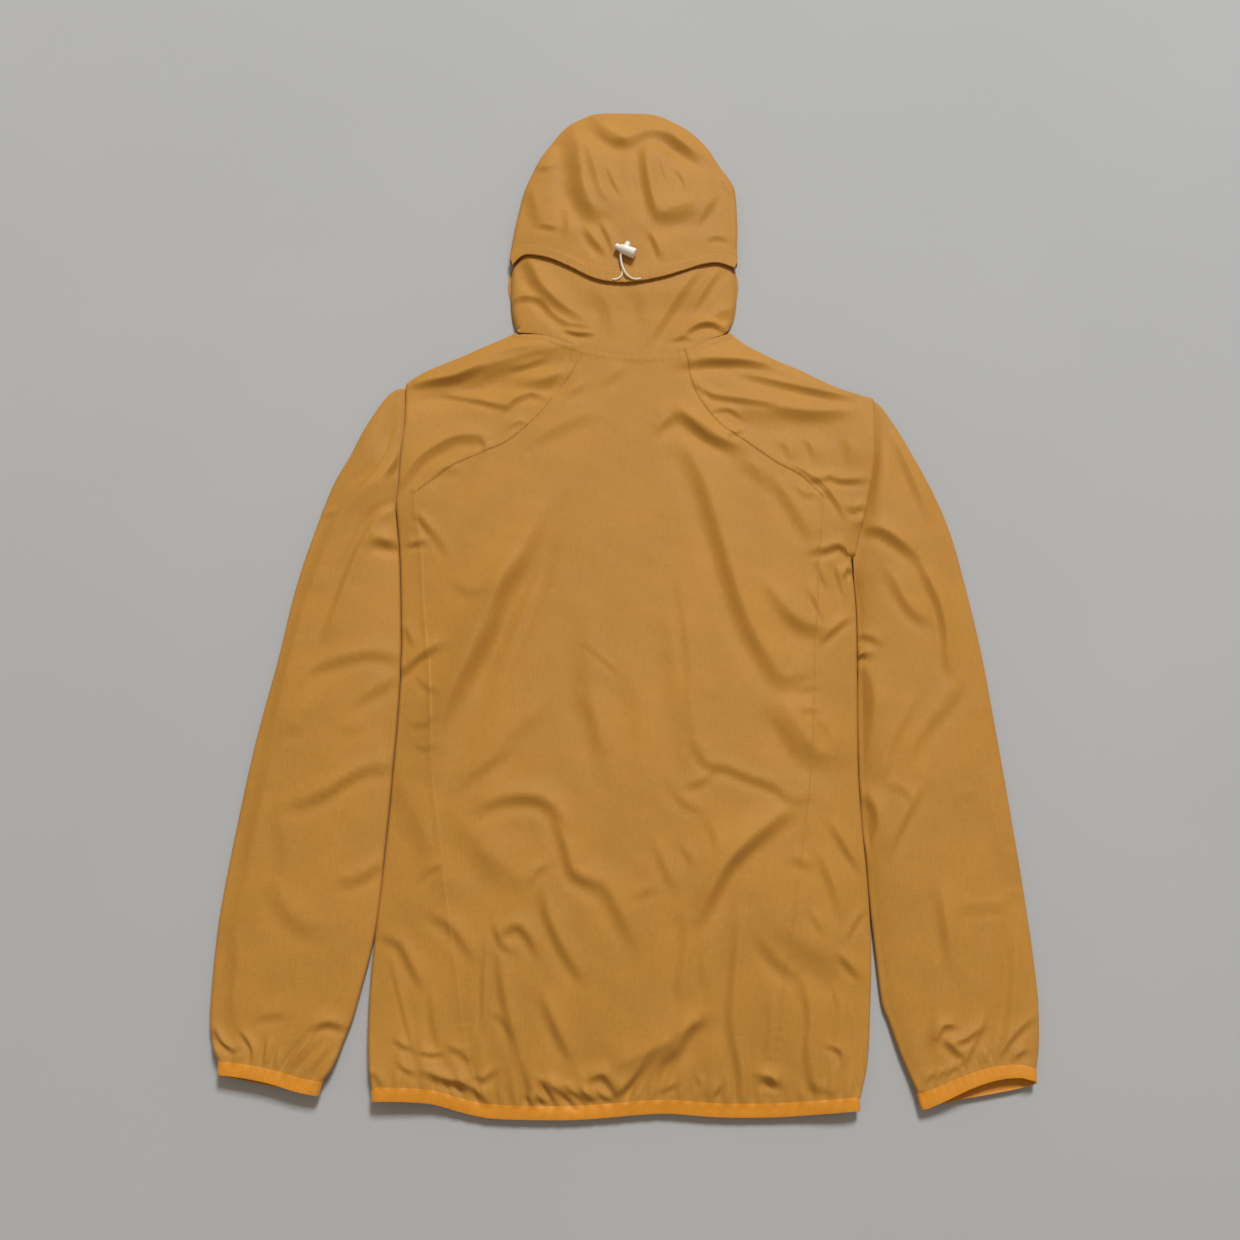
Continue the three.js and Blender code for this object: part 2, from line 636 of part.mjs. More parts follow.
const frontTopY = 199;
function front(side) {
  const sign = side === "left" ? -1 : 1;
  const edgeX = side === "left" ? leftEdge : rightEdge;
  const inset = underStrip + 1;
  const footGap = 0.5;
  const sideFoot = clothEndY(edgeX(bodyLow + 8) - sign * inset) + footGap;
  const sideTop = side === "left" ? 55 : 9;
  const sideLine = rising((y) => edgeX(y) - sign * inset, sideFoot, sideTop);
  const upper = side === "left"
    ? [[-184, 75], [-184, 156], [-130, 181], [-89, 199]]
    : [[187, 24], [200, 70], [201, 138], [162, 160], [128, 176], [104, 190], [87, 199]];
  const outerLine = joined(0.72, sideLine, spline(sideLine(1), ...upper));
  const zipX = sign * (zipWidth / 2 + seamGap);
  const zipLine = rising(() => zipX, clothEndY(zipX) + footGap, frontTopY);
  const foot = hemLine(outerLine(0)[0], zipX);
  const plan = patch({
    west: outerLine,
    east: zipLine,
    south: (t) => [foot(t)[0], foot(t)[1] + footGap],
    north: (t) => [mix(outerLine(1)[0], zipX, t), frontTopY],
  });
  const rows = [0, 0.03, 0.07, ...range(13).map((t) => mix(0.11, 1, t))];
  return flatPiece({
    plan,
    rows: rows.map((v, k) => ({ v, us: range(k < 2 ? 14 : 4) })),
    flip: side !== "right",
  });
}

function frontZip() {
  const shape = new THREE.Shape();
  const profile = [[-7, 0], [7, 0], [7, 1], [2.6, 1], [2.2, 2.2], [-2.2, 2.2], [-2.6, 1], [-7, 1]];
  shape.setFromPoints(profile.map(([x, z]) => new THREE.Vector2(x, z)));
  const start = hemY(0) + 1;
  const geometry = new THREE.ExtrudeGeometry(shape, { depth: zipTopY - start, bevelEnabled: false });
  geometry.rotateX(Math.PI / 2);
  geometry.translate(0, zipTopY, 0);
  return geometry;
}

function zipSlider() {
  const shape = new THREE.Shape();
  const profile = [[-4.5, 0], [4.5, 0], [5.2, 7], [3.4, 13], [-3.4, 13], [-5.2, 7]];
  shape.setFromPoints(profile.map(([x, y]) => new THREE.Vector2(x, y)));
  const geometry = new THREE.ExtrudeGeometry(shape, { depth: 3.2, bevelEnabled: false });
  geometry.translate(0, zipTopY + seamGap, 0);
  return geometry;
}

// Hem binding: one flat elastic band round back and fronts, open at the zip.
function hemBinding() {
  const leftX = leftEdge(-462) + foldRadius;
  const rightX = rightEdge(-470) - foldRadius;
  const zipX = zipWidth / 2 + seamGap;
  const shares = [0.2, 0.26, 0.74, 0.8];
  const at = (u, drop) => {
    const line = (x) => hemY(x) + bindingHeight - drop * bindingHeight;
    const puff = 0.35 * Math.sin(Math.PI * drop);
    if (u < shares[0]) {
      const x = mix(-zipX, leftX, u / shares[0]);
      return [x, line(x), floorLift(x, line(x))];
    }
    if (u > shares[3]) {
      const x = mix(rightX, zipX, (u - shares[3]) / (1 - shares[3]));
      return [x, line(x), floorLift(x, line(x))];
    }
    if (u >= shares[1] && u <= shares[2]) {
      const x = mix(leftX, rightX, (u - shares[1]) / (shares[2] - shares[1]));
      return [x, line(x), bodyTop(x, line(x)) + puff];
    }
    const onLeft = u < shares[1];
    const x = onLeft ? leftX : rightX;
    const turn = Math.PI * (onLeft
      ? 1 - (u - shares[0]) / (shares[1] - shares[0])
      : (u - shares[2]) / (shares[3] - shares[2]));
    const top = bodyTop(x, line(x));
    const low = floorLift(x, line(x));
    const half = (top - low) / 2;
    const out = (onLeft ? -1 : 1) * (foldRadius + puff) * Math.sin(turn);
    return [x + out, line(x), top - half + half * Math.cos(turn)];
  };
  const us = [
    ...range(9).map((t) => t * shares[0]),
    ...range(5).slice(1).map((t) => mix(shares[0], shares[1], t)),
    ...range(36).slice(1).map((t) => mix(shares[1], shares[2], t)),
    ...range(5).slice(1).map((t) => mix(shares[2], shares[3], t)),
    ...range(9).slice(1).map((t) => mix(shares[3], 1, t)),
  ];
  const rows = range(3).map((v) => ({ v, us }));
  return wallGeometry({ surface: at, rows, thickness: bindingWall - 0.4, flip: true });
}

// ---------------------------------------------------------------- sleeves
// A row for each section across a sleeve, from under the raglan top to the end of the cuff.
// away: how far its inner edge lies from the body's side, less than 0 where it is tucked in.
const armColumns = "outerX outerY innerY away height lift";
const leftArm = table(
  armColumns,
  [-190, 165, 92, -18.5, 6.2, 0],
  [-206.5, 171.5, 79, -8, 6.4, 0],
  [-223, 164.5, 65, -2.6, 7.6, 0],
  [-243, 131.5, 45, 0, 11.5, 0],
  [-256.5, 100.3, 27, 0, 12.5, 0],
  [-271, 70, 8, 0, 12.5, 0],
  [-286.4, 20, -27, 0, 12.5, 0],
  [-299, -32, -66, 0, 12.5, 0],
  [-309.6, -97, -120, 0, 12.5, 0],
  [-323.7, -172, -190, 0, 12.5, 0],
  [-334.4, -248.5, -262, 0, 12, 0],
  [-342.4, -324, -336, 0, 12, 0],
  [-343.7, -384, -395, 10, 11.5, 0],
  [-341.9, -410, -422, 19.5, 10.5, 1.2],
  [-337.4, -429, -441, 28.5, 9.5, 3],
  [-331.8, -440.5, -452.5, 38.5, 8.5, 4.6],
  [-331, -450.5, -462.5, 43.5, 8.5, 5.4],
);
const rightArm = table(
  armColumns,
  [225, 152, 15, -0.5, 6.2, 0],
  [241, 158, 3, 0.8, 6.4, 0],
  [256.5, 136, -14, 0.4, 8.5, 0],
  [271, 106.5, -26, 0, 11.5, 0],
  [284, 78.5, -38, 0, 12.5, 0],
  [297, 46, -52, 0, 12.5, 0],
  [306, 14, -68, 0, 12.5, 0],
  [312.7, -21.7, -88, 0, 12.5, 0],
  [323, -88, -130, 0, 12.5, 0],
  [331.5, -171, -199, 0, 12.5, 0],
  [337.6, -240, -256, 0, 12, 0],
  [343.6, -313, -325, 1, 12, 0],
  [346.8, -376, -386, 8, 11.5, 0],
  [346.3, -399, -408, 16, 10.5, 0.6],
  [343.3, -421, -433, 27, 9.5, 2],
  [337.6, -438.5, -460.5, 44, 8.5, 3.6],
  [336.6, -447.5, -471.5, 50, 8.5, 4.4],
);
const cuffGather = { pitch: 7.5, depth: 0.8, reach: 16 };

function armSurface(side) {
  const left = side === "left";
  const sections = (left ? leftArm : rightArm).map((row, k) => ({ ...row, k }));
  const last = sections.length - 1;
  const get = Object.fromEntries(armColumns.split(" ").map((name) => [name, column(sections, "k", name)]));
  const edgeX = left ? leftEdge : rightEdge;
  const sign = left ? -1 : 1;
  const armFolds = left ? folds.leftArm : folds.rightArm;
  const radius = 4.5;
  const shares = { top: 0.52, round: 0.12, bottom: 0.24 };
  const surface = (u, v, puff = 0) => {
    const k = v * last;
    const innerY = get.innerY(k);
    const inner = [edgeX(innerY) + sign * (armGap + get.away(k)), innerY];
    const outer = [get.outerX(k), get.outerY(k)];
    const width = Math.hypot(outer[0] - inner[0], outer[1] - inner[1]);
    const ex = (outer[0] - inner[0]) / width;
    const ey = (outer[1] - inner[1]) / width;
    const lift = Math.max(get.lift(k), 0);
    const side = Math.min(get.height(k), 7.5);
    const topAt = (s) => {
      const x = inner[0] + ex * s;
      const y = inner[1] + ey * s;
      const middle = 1 - Math.abs((2 * s) / width - 1) ** 2.4;
      const free = step(1.2, 2.6, k) * (1 - step(last - 1.6, last - 0.9, k));
      const toCuff = (last - 1 - k) * 20;
      const wave = Math.cos((2 * Math.PI * s) / cuffGather.pitch + 0.8 * Math.sin(s / 11));
      const gather = cuffGather.depth * wave * Math.exp(-Math.abs(toCuff) / cuffGather.reach) * middle;
      return lift + side + (get.height(k) - side) * middle + free * relief(armFolds, x, y) + gather;
    };
    const place = (s, z, out = 0) => [inner[0] + ex * (s + out), inner[1] + ey * (s + out), z];
    const bottomOf = 1 - shares.round;
    if (u <= shares.top) {
      const s = mix(radius, width - radius, u / shares.top);
      return place(s, topAt(s) + puff);
    }
    if (u <= shares.top + shares.round) {
      const turn = Math.PI * ((u - shares.top) / shares.round);
      const half = (topAt(width - radius) - lift) / 2;
      const z = lift + half + (half + puff) * Math.cos(turn);
      return place(width - radius, z, (radius + puff) * Math.sin(turn));
    }
    if (u <= bottomOf) {
      const t = (u - shares.top - shares.round) / (bottomOf - shares.top - shares.round);
      return place(mix(width - radius, radius, t), lift - Math.min(puff, lift));
    }
    const turn = Math.PI * ((u - bottomOf) / shares.round);
    const half = (topAt(radius) - lift) / 2;
    return place(radius, lift + half - (half + puff) * Math.cos(turn), -(radius + puff) * Math.sin(turn));
  };
  return { surface, last, shares };
}

const ringSamples = ({ top, round, bottom }, tops) => [
  ...range(tops).map((t) => t * top),
  ...range(4).slice(1).map((t) => top + t * round),
  ...range(3).slice(1).map((t) => top + round + t * bottom),
  ...range(4).slice(1, -1).map((t) => 1 - round + t * round),
];

function sleeveArm(side) {
  const { surface, last, shares } = armSurface(side);
  const end = (last - 1) / last;
  const upper = [0, 0.55, 1.05, 1.6, 2.2];
  const plain = [...upper, ...range(12).map((t) => mix(2.9, last - 3, t))].map((k) => k / last);
  const fine = [last - 2.4, last - 1.9, last - 1.5, last - 1.2, last - 1].map((k) => k / last);
  const gap = seamGap / 7 / last;
  const rows = [
    ...plain.map((v) => ({ v, us: ringSamples(shares, 7) })),
    ...fine.map((v) => ({ v: Math.min(v, end - gap), us: ringSamples(shares, 20) })),
  ];
  return wallGeometry({ surface, rows, loop: true, flip: side === "right" });
}

function cuffBinding(side) {
  const { surface, last, shares } = armSurface(side);
  const start = (last - 1) / last;
  const rows = range(3).map((t) => ({ v: mix(start, 1, t), us: ringSamples(shares, 12) }));
  const puffed = (u, v) => surface(u, v, 0.35 * Math.sin(Math.PI * between(start, 1, v)));
  const thickness = bindingWall - 0.4;
  return wallGeometry({ surface: puffed, rows, thickness, loop: true, flip: side === "right" });
}

// ---------------------------------------------------------------- hood
// The crown's folded outline from its left corner over the top to its right corner, and its
// hemmed lower edge.
const crownArch = spline([-110.7, 307], [-108.3, 332], [-100.4, 378], [-90, 408], [-76.2, 436],
  [-59, 459], [-38, 474], [-20, 478], [8, 478.6], [35.8, 476], [55, 466], [71.4, 454], [86, 437],
  [98, 416], [108, 400], [113.7, 386], [115, 350], [113.9, 320], [113.6, 303]);
const crownLower = spline([-109.7, 301], [-100, 309.5], [-91.3, 311], [-72, 306], [-52.8, 296.4],
  [-27.3, 282.2], [-4.9, 277.7], [15.5, 278.7], [39.9, 284.4], [58.5, 291], [78.2, 298.8], [95, 302],
  [112.5, 297.7]);
const crown = table(
  "y halfWidth middle fill",
  [270, 112, 1.6, 7.5],
  [310, 112.5, 1.6, 8.5],
  [350, 111, 3.5, 10.5],
  [390, 105.5, 6.5, 11],
  [420, 93.5, 5, 10.5],
  [450, 69, 3, 9],
  [470, 42, 1, 7],
  [485, 12, 0, 6],
);
const crownHalf = column(crown, "y", "halfWidth");
const crownMiddle = column(crown, "y", "middle");
const crownFill = column(crown, "y", "fill");
const crownEdge = 11;
const channelDepth = 13; // the hemmed cord channel along the lower edge
const channelWall = 3;

function crownTop(x, y) {
  const out = clamp01(Math.abs(x - crownMiddle(y)) / crownHalf(y));
  const round = (1 - out ** 2.6) * rampIn(479 - y, 60);
  return crownEdge + crownFill(y) * round + relief(folds.crown, x, y);
}

const crownStrip = 20;
const crownUnder = (v) => mix(2.5, crownStrip, step(0.06, 0.14, v) * (1 - step(0.88, 0.95, v)));
const crownRadius = 5.5;

function hoodCrown() {
  const outwards = (v) => leftOf(crownArch, mix(0.01, 0.99, v));
  const outer = (v) => {
    const [x, y] = crownArch(v);
    const [nx, ny] = outwards(v);
    return [x - nx * crownRadius, y - ny * crownRadius];
  };
  const straight = (a, b) => (t) => [mix(a[0], b[0], t), mix(a[1], b[1], t)];
  const lower = (v) => {
    const [x, y] = crownLower(v);
    return [mix(x, x * 0.955, Math.abs(2 * v - 1) ** 8), y];
  };
  const share = [0.7, 0.18];
  const surface = foldedSurface({
    plan: patch({
      west: lower,
      east: outer,
      south: straight(lower(0), outer(0)),
      north: straight(lower(1), outer(1)),
    }),
    top: crownTop,
    outwards,
    radius: crownRadius,
    under: crownUnder,
    floor: (v) => 2.3 * (1 - step(0.08, 0.12, v) * (1 - step(0.89, 0.93, v))),
    share,
  });
  const length = (v) => {
    const [ax, ay] = lower(v);
    const [bx, by] = outer(v);
    return Math.hypot(bx - ax, by - ay);
  };
  const inChannel = (u, v) => 1 - step(channelDepth * 0.8, channelDepth, (u / share[0]) * length(v));
  const thickness = (u, v) => mix(wall, channelWall, inChannel(u, v) * step(18, 40, length(v)));
  const us = [0, 0.04, 0.09, ...range(7).map((t) => mix(0.16, 1, t))].map((t) => t * share[0]);
  const fold = foldSamples(1, share, 4, 1).slice(2);
  const rows = range(22).map((v) => ({ v, us: [...us, ...fold] }));
  const lean = (u) => -between(0.88, 0.94, u);
  return wallGeometry({ surface, rows, thickness, flip: true, lean });
}

// Lower back piece of the hood: from the neck seam up under the crown.
const neckLift = 2.1; // it lies on the hood's under layer
const neckRound = 6;
function neckTop(x, y, edgeGap) {
  const fromSeam = y - neckY(x);
  const across = clamp01(Math.abs(x - 1.5) / 110);
  const own = 7 + 5.5 * (1 - across ** 2.2);
  const high = mix(bodyTop(x, neckY(x)), own, step(0, 45, fromSeam)) + relief(folds.neck, x, y);
  const t = 1 - clamp01(edgeGap / neckRound);
  return neckLift + (high - neckLift) * Math.sqrt(Math.max(1 - t * t, 0));
}

function hoodNeck() {
  const west = spline([-101.5, 229.6], [-106, 240], [-110.3, 264], [-109.5, 292], [-101, 308], [-97, 320]);
  const east = spline([102.5, 230.2], [108.5, 243], [113, 264], [112, 288], [103, 304], [98, 318]);
  const south = (t) => {
    const [x, y] = neckSeam(mix(0.012, 0.988, t));
    return [x, y + seamGap / 2 + 0.1];
  };
  const matched = (curve, end) => (t) => {
    const [x, y] = curve(t);
    const fade = (1 - t) ** 6;
    return [x + (end[0] - curve(0)[0]) * fade, y + (end[1] - curve(0)[1]) * fade];
  };
  const north = (t) => {
    const [, y] = crownLower(mix(0.09, 0.91, t));
    return [mix(west(1)[0], east(1)[0], t), mix(Math.min(y + 16, 320), 319, 0.5)];
  };
  const plan = patch({ west: matched(west, south(0)), east: matched(east, south(1)), south, north });
  const surface = (u, v) => {
    const [x, y] = plan(u, v);
    const [wx] = plan(0, v);
    const [ex] = plan(1, v);
    const closed = step(0, 0.05, v);
    const gap = mix(20, Math.min(x - wx, ex - x), closed);
    return [x, y, neckTop(x, y, gap)];
  };
  const sides = [0, 0.004, 0.014, 0.035];
  const us = [...sides, ...range(9).map((t) => mix(0.08, 0.92, t)), ...sides.map((t) => 1 - t).reverse()];
  const vs = [0, 0.05, ...range(8).map((t) => mix(0.13, 1, t))];
  const lean = (u, v) => 1 - Math.max(step(0, 0.12, v), step(0.9, 1, Math.abs(2 * u - 1)));
  return wallGeometry({ surface, rows: vs.map((v) => ({ v, us })), lean });
}

// Under layer of the hood: a half on each side of the zip and of the face opening.
const hoodLowY = 200;
const faceOpening = { halfWidth: 46, low: zipTopY + 16, middle: 365, high: 430 };
function hoodSide(side) {
  const sign = side === "left" ? -1 : 1;
  const zipX = zipWidth / 2 + seamGap;
  const inset = crownStrip + crownRadius + 6;
  const alongArch = side === "left" ? [0.16, 0.43] : [0.85, 0.57];
  const hidden = stretch(shifted(crownArch, -inset), ...alongArch);
  const shown = side === "left"
    ? [[-104, 236.5], [-109, 246], [-113, 264], [-113, 296]]
    : [[106.5, 238], [112, 249], [116.2, 266], [116.2, 290]];
  const outerLine = spline(...shown, hidden(0), hidden(0.25), hidden(0.5), hidden(0.75), hidden(1));
  const { halfWidth, low, middle, high } = faceOpening;
  const face = spline(
    [sign * zipX, zipTopY],
    [sign * (zipX + 8), low],
    [sign * halfWidth, middle],
    [sign * 26, high],
    [sign * 14, high + 8],
  );
  const innerLine = joined(0.33, rising(() => sign * zipX, hoodLowY, zipTopY), face);
  const start = outerLine(0);
  const corner = [sign * 85, 207];
  const lowEdge = spline(corner, [sign * 84, hoodLowY], [sign * zipX, hoodLowY]);
  const south = joined(0.3, spline(start, corner), lowEdge);
  const plan = patch({
    west: outerLine,
    east: innerLine,
    south,
    north: (t) => [0, 1].map((axis) => mix(outerLine(1)[axis], innerLine(1)[axis], t)),
  });
  return flatPiece({ plan, rows: range(14).map((v) => ({ v, us: range(3) })), flip: side === "left" });
}

// ---------------------------------------------------------------- cord and cord lock
const cordDiameter = 2;
// The cord's way along the hood, by hand: [x, y, height of its middle above the floor].
const cordRight = [[-1.5, 306, 24.6], [-1.2, 301, 23.4], [0, 294, 22.7], [2.2, 288, 22.4],
  [5.4, 283.4, 21.8], [9.6, 280.6, 20.8], [14, 280.2, 20.1], [18.4, 281, 19.9]];
const cordLeft = [[-1.9, 305.4, 21.6], [-1.5, 300.5, 20.7], [-0.4, 294, 20.5], [0.4, 288, 20.3],
  [-0.9, 283.6, 20.1], [-3.6, 281, 20], [-6.6, 280, 19.9], [-9.4, 280.2, 19.9]];

function cordTube(points) {
  const curve = new THREE.CatmullRomCurve3(points.map((p) => new THREE.Vector3(...p)));
  const shape = new THREE.Shape();
  const radius = cordDiameter / 2;
  const corners = range(8).slice(1).map((t) => t * 2 * Math.PI);
  shape.setFromPoints(corners.map((a) => new THREE.Vector2(Math.cos(a), Math.sin(a)).multiplyScalar(radius)));
  const steps = Math.ceil(curve.getLength() / (1.6 * cordDiameter));
  return new THREE.ExtrudeGeometry(shape, { steps, extrudePath: curve, bevelEnabled: false });
}

// The lock: a tapered barrel across the cord and a round push button in its side.
const lock = { x: 3.1, y: 309.5, z: 24.9, tilt: -24, length: 21, thin: 3, thick: 5 };
const button = { radius: 2.7, clearance: 0.08, depth: 3.4, out: 7.2, travel: 3, along: -0.5 };

async function cordLock() {
  const wasm = await Module();
  wasm.setup();
  const solid = (geometry) => {
    const bare = geometry.clone();
    bare.deleteAttribute("normal");
    bare.deleteAttribute("uv");
    const merged = mergeVertices(bare, 1e-4);
    return new wasm.Manifold(new wasm.Mesh({
      numProp: 3,
      vertProperties: merged.attributes.position.array,
      triVerts: new Uint32Array(merged.index.array),
    }));
  };
  const { length, thin, thick } = lock;
  const half = length / 2;
  const profile = [[0, -half], [thin - 0.7, -half], [thin, -half + 0.7], [thin, -half + 4],
    [thin + 0.6, -half + 5], [thick - 0.3, -half + 9], [thick, half - 1], [thick - 0.9, half], [0, half]];
  const barrel = new THREE.LatheGeometry(profile.map(([r, y]) => new THREE.Vector2(r, y)), 20);
  barrel.rotateZ(-Math.PI / 2);
  const boreRadius = button.radius + button.clearance;
  const bore = new THREE.CylinderGeometry(boreRadius, boreRadius, 20, 20);
  bore.translate(button.along, 10 + thick - button.depth - button.travel - 0.6, 0);
  const cut = solid(barrel).subtract(solid(bore)).getMesh();
  const barrelGeometry = new THREE.BufferGeometry();
  barrelGeometry.setAttribute("position", new THREE.Float32BufferAttribute(cut.vertProperties, 3));
  barrelGeometry.setIndex(Array.from(cut.triVerts));
  barrelGeometry.computeVertexNormals();
  const foot = thick - button.depth;
  const top = foot + button.out;
  const buttonProfile = [[0, foot], [button.radius, foot], [button.radius, top - 0.6],
    [button.radius - 0.6, top], [0, top]];
  const plunger = new THREE.LatheGeometry(buttonProfile.map(([r, y]) => new THREE.Vector2(r, y)), 20);
  plunger.translate(button.along, 0, 0);
  for (const [name, geometry] of [["cord_lock_barrel", barrelGeometry], ["cord_lock_plunger", plunger]]) {
    const mesh = add(name, geometry, white());
    mesh.rotation.z = THREE.MathUtils.degToRad(lock.tilt);
    mesh.position.set(lock.x, lock.y, lock.z);
  }
}

// ---------------------------------------------------------------- the jacket
add("back_panel", backPanel(), ochre());
for (const side of ["left", "right"]) {
  add(`side_panel_${side}`, sidePanel(side), ochre());
  add(`front_${side}`, front(side), ochre());
  add(`sleeve_${side}_cap`, sleeveCap(side), ochre());
  add(`sleeve_${side}_arm`, sleeveArm(side), ochre());
  add(`cuff_binding_${side}`, cuffBinding(side), orange());
  add(`hood_side_${side}`, hoodSide(side), ochre());
}
add("hem_binding", hemBinding(), orange());
add("front_zip", frontZip(), ochre());
add("zip_slider", zipSlider(), white());
add("hood_neck", hoodNeck(), ochre());
add("hood_crown", hoodCrown(), ochre());
add("hood_cord_right", cordTube(cordRight), white());
add("hood_cord_left", cordTube(cordLeft), white());
await cordLock();

garment.position.set(-centre[0], -centre[1], 0);
garment.updateMatrixWorld(true);
export default garment;
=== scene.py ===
# %% [markdown]
# # A hooded track jacket, laid flat with its back up
# A light unlined jacket lies on its front on a floor: raglan sleeves beside the body, elastic
# binding at hem and cuffs, and a cord lock at the back of the hood. The hard model loaded here
# fixes every size. What follows dresses it: each cut piece of cloth becomes a thin shell with
# its own creases, seams and stitches.

# %% Tools and frame
import math

import bpy
import numpy as np
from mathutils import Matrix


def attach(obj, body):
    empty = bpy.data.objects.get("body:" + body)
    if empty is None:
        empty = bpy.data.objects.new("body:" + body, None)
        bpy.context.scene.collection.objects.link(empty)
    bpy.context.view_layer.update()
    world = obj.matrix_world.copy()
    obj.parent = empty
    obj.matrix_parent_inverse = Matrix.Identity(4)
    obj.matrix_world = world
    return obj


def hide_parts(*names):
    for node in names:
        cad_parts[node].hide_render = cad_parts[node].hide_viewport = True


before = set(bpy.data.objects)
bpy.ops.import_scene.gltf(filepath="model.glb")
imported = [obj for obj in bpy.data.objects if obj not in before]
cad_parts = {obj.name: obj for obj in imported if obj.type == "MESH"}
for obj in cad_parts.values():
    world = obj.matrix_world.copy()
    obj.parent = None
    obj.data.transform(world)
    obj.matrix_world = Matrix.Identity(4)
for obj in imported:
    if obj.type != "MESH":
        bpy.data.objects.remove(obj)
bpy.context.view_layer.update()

# %% [markdown]
# Sizes are in millimetres in the seams' own plan: x to the wearer's right arm, y from hem to
# hood, z up from the floor. The laid-out jacket's middle lies at MIDDLE, and the model's origin
# is that middle, so one function turns plan sizes into Blender's metres.

# %% Plan sizes
MIDDLE = (1.67, -2.31)
BINDING = 10.0        # width of the elastic binding
EDGE = 8.0            # height of the two layers at a side fold
FOLD = 4.5            # how far a side fold rounds over
STRIP = 25.0          # how far side bodies and raglan tops turn under
GAP = 0.06            # between two pieces at a seam
TUCK = 7.4            # underside of the raglan top over the sleeve
CLOTH = 1.0           # thickness shown for the cloth
BAND = 1.6            # thickness of the elastic, which is folded over the edge
ZIP_HALF = 7.3        # half the width left between the fronts for the zip


def metres(points):
    points = np.asarray(points, float)
    return (points - [MIDDLE[0], MIDDLE[1], 0.0]) / 1000.0


def mix(a, b, t):
    return a + (b - a) * t


def between(a, b, x):
    return np.clip((np.asarray(x, float) - a) / (b - a), 0.0, 1.0)


def step(a, b, x):
    t = between(a, b, x)
    return t * t * (3 - 2 * t)


def bell(x):
    return np.exp(-np.square(x))


def ramp_in(gap, reach):
    return 1 - np.square(1 - np.clip(gap / reach, 0, 1))


# %% [markdown]
# Seam lines are smooth curves through a few points, and widths are smooth columns of a short
# table. Both are functions, so a panel can be sampled as finely as its creases need.

# %% Curves and tables
def through(*points, steps=200):
    """A smooth curve through points, as a function of 0..1 by length."""
    p = np.array(points, float)
    n = len(p) - 1
    t = np.linspace(0, n, steps * 2 + 1)
    k = np.minimum(t.astype(int), n - 1)
    w = (t - k)[:, None]
    p0, p1 = p[np.maximum(k - 1, 0)], p[k]
    p2, p3 = p[k + 1], p[np.minimum(k + 2, n)]
    v0, v1 = (p2 - p0) / 2, (p3 - p1) / 2
    line = (2 * p1 - 2 * p2 + v0 + v1) * w**3 + (3 * p2 - 3 * p1 - 2 * v0 - v1) * w**2 + v0 * w + p1
    run = np.concatenate([[0], np.cumsum(np.linalg.norm(np.diff(line, axis=0), axis=1))])

    def curve(at):
        at = np.clip(at, 0, 1) * run[-1]
        return np.stack([np.interp(at, run, line[:, axis]) for axis in range(line.shape[1])], -1)

    return curve


def column(at, value):
    """A smooth function through one column of a table."""
    at, value = np.array(at, float), np.array(value, float)
    last = len(at) - 1
    low, high = np.maximum(np.arange(last + 1) - 1, 0), np.minimum(np.arange(last + 1) + 1, last)
    slope = (value[high] - value[low]) / (at[high] - at[low])

    def read(x):
        x = np.clip(x, at[0], at[-1])
        k = np.clip(np.searchsorted(at, x, side="left") - 1, 0, last - 1)
        span = at[k + 1] - at[k]
        t = (x - at[k]) / span
        first = (1 + 2 * t) * (1 - t) ** 2 * value[k] + t * (1 - t) ** 2 * span * slope[k]
        second = t * t * (3 - 2 * t) * value[k + 1] + t * t * (t - 1) * span * slope[k + 1]
        return first + second

    return read


def joined(share, first, second):
    def curve(t):
        t = np.asarray(t, float)
        return np.where((t < share)[..., None], first(t / share), second((t - share) / (1 - share)))
    return curve


def stretch(curve, start, end):
    return lambda t: curve(mix(start, end, np.asarray(t, float)))


def left_of(curve, t):
    t = np.asarray(t, float)
    run = curve(np.minimum(t + 0.004, 1)) - curve(np.maximum(t - 0.004, 0))
    run /= np.linalg.norm(run, axis=-1, keepdims=True)
    return np.stack([-run[..., 1], run[..., 0]], -1)


def shifted(curve, by):
    return lambda t: curve(t) + left_of(curve, t) * by


def patch(west, east, south, north):
    """A plan patch between four curves; west and east run from south to north."""
    corner = [south(np.array(0.0)), south(np.array(1.0)), north(np.array(0.0)), north(np.array(1.0))]

    def plan(u, v):
        u, v = np.broadcast_arrays(np.asarray(u, float), np.asarray(v, float))
        uu, vv = u[..., None], v[..., None]
        sides = mix(west(v), east(v), uu) + mix(south(u), north(u), vv)
        return sides - mix(mix(corner[0], corner[1], uu), mix(corner[2], corner[3], uu), vv)

    return plan


# %% [markdown]
# The body's side folds, princess seams, hem and shoulder line give its outline. The hem's left
# end lies higher than its middle, and the two sleeves lie differently.

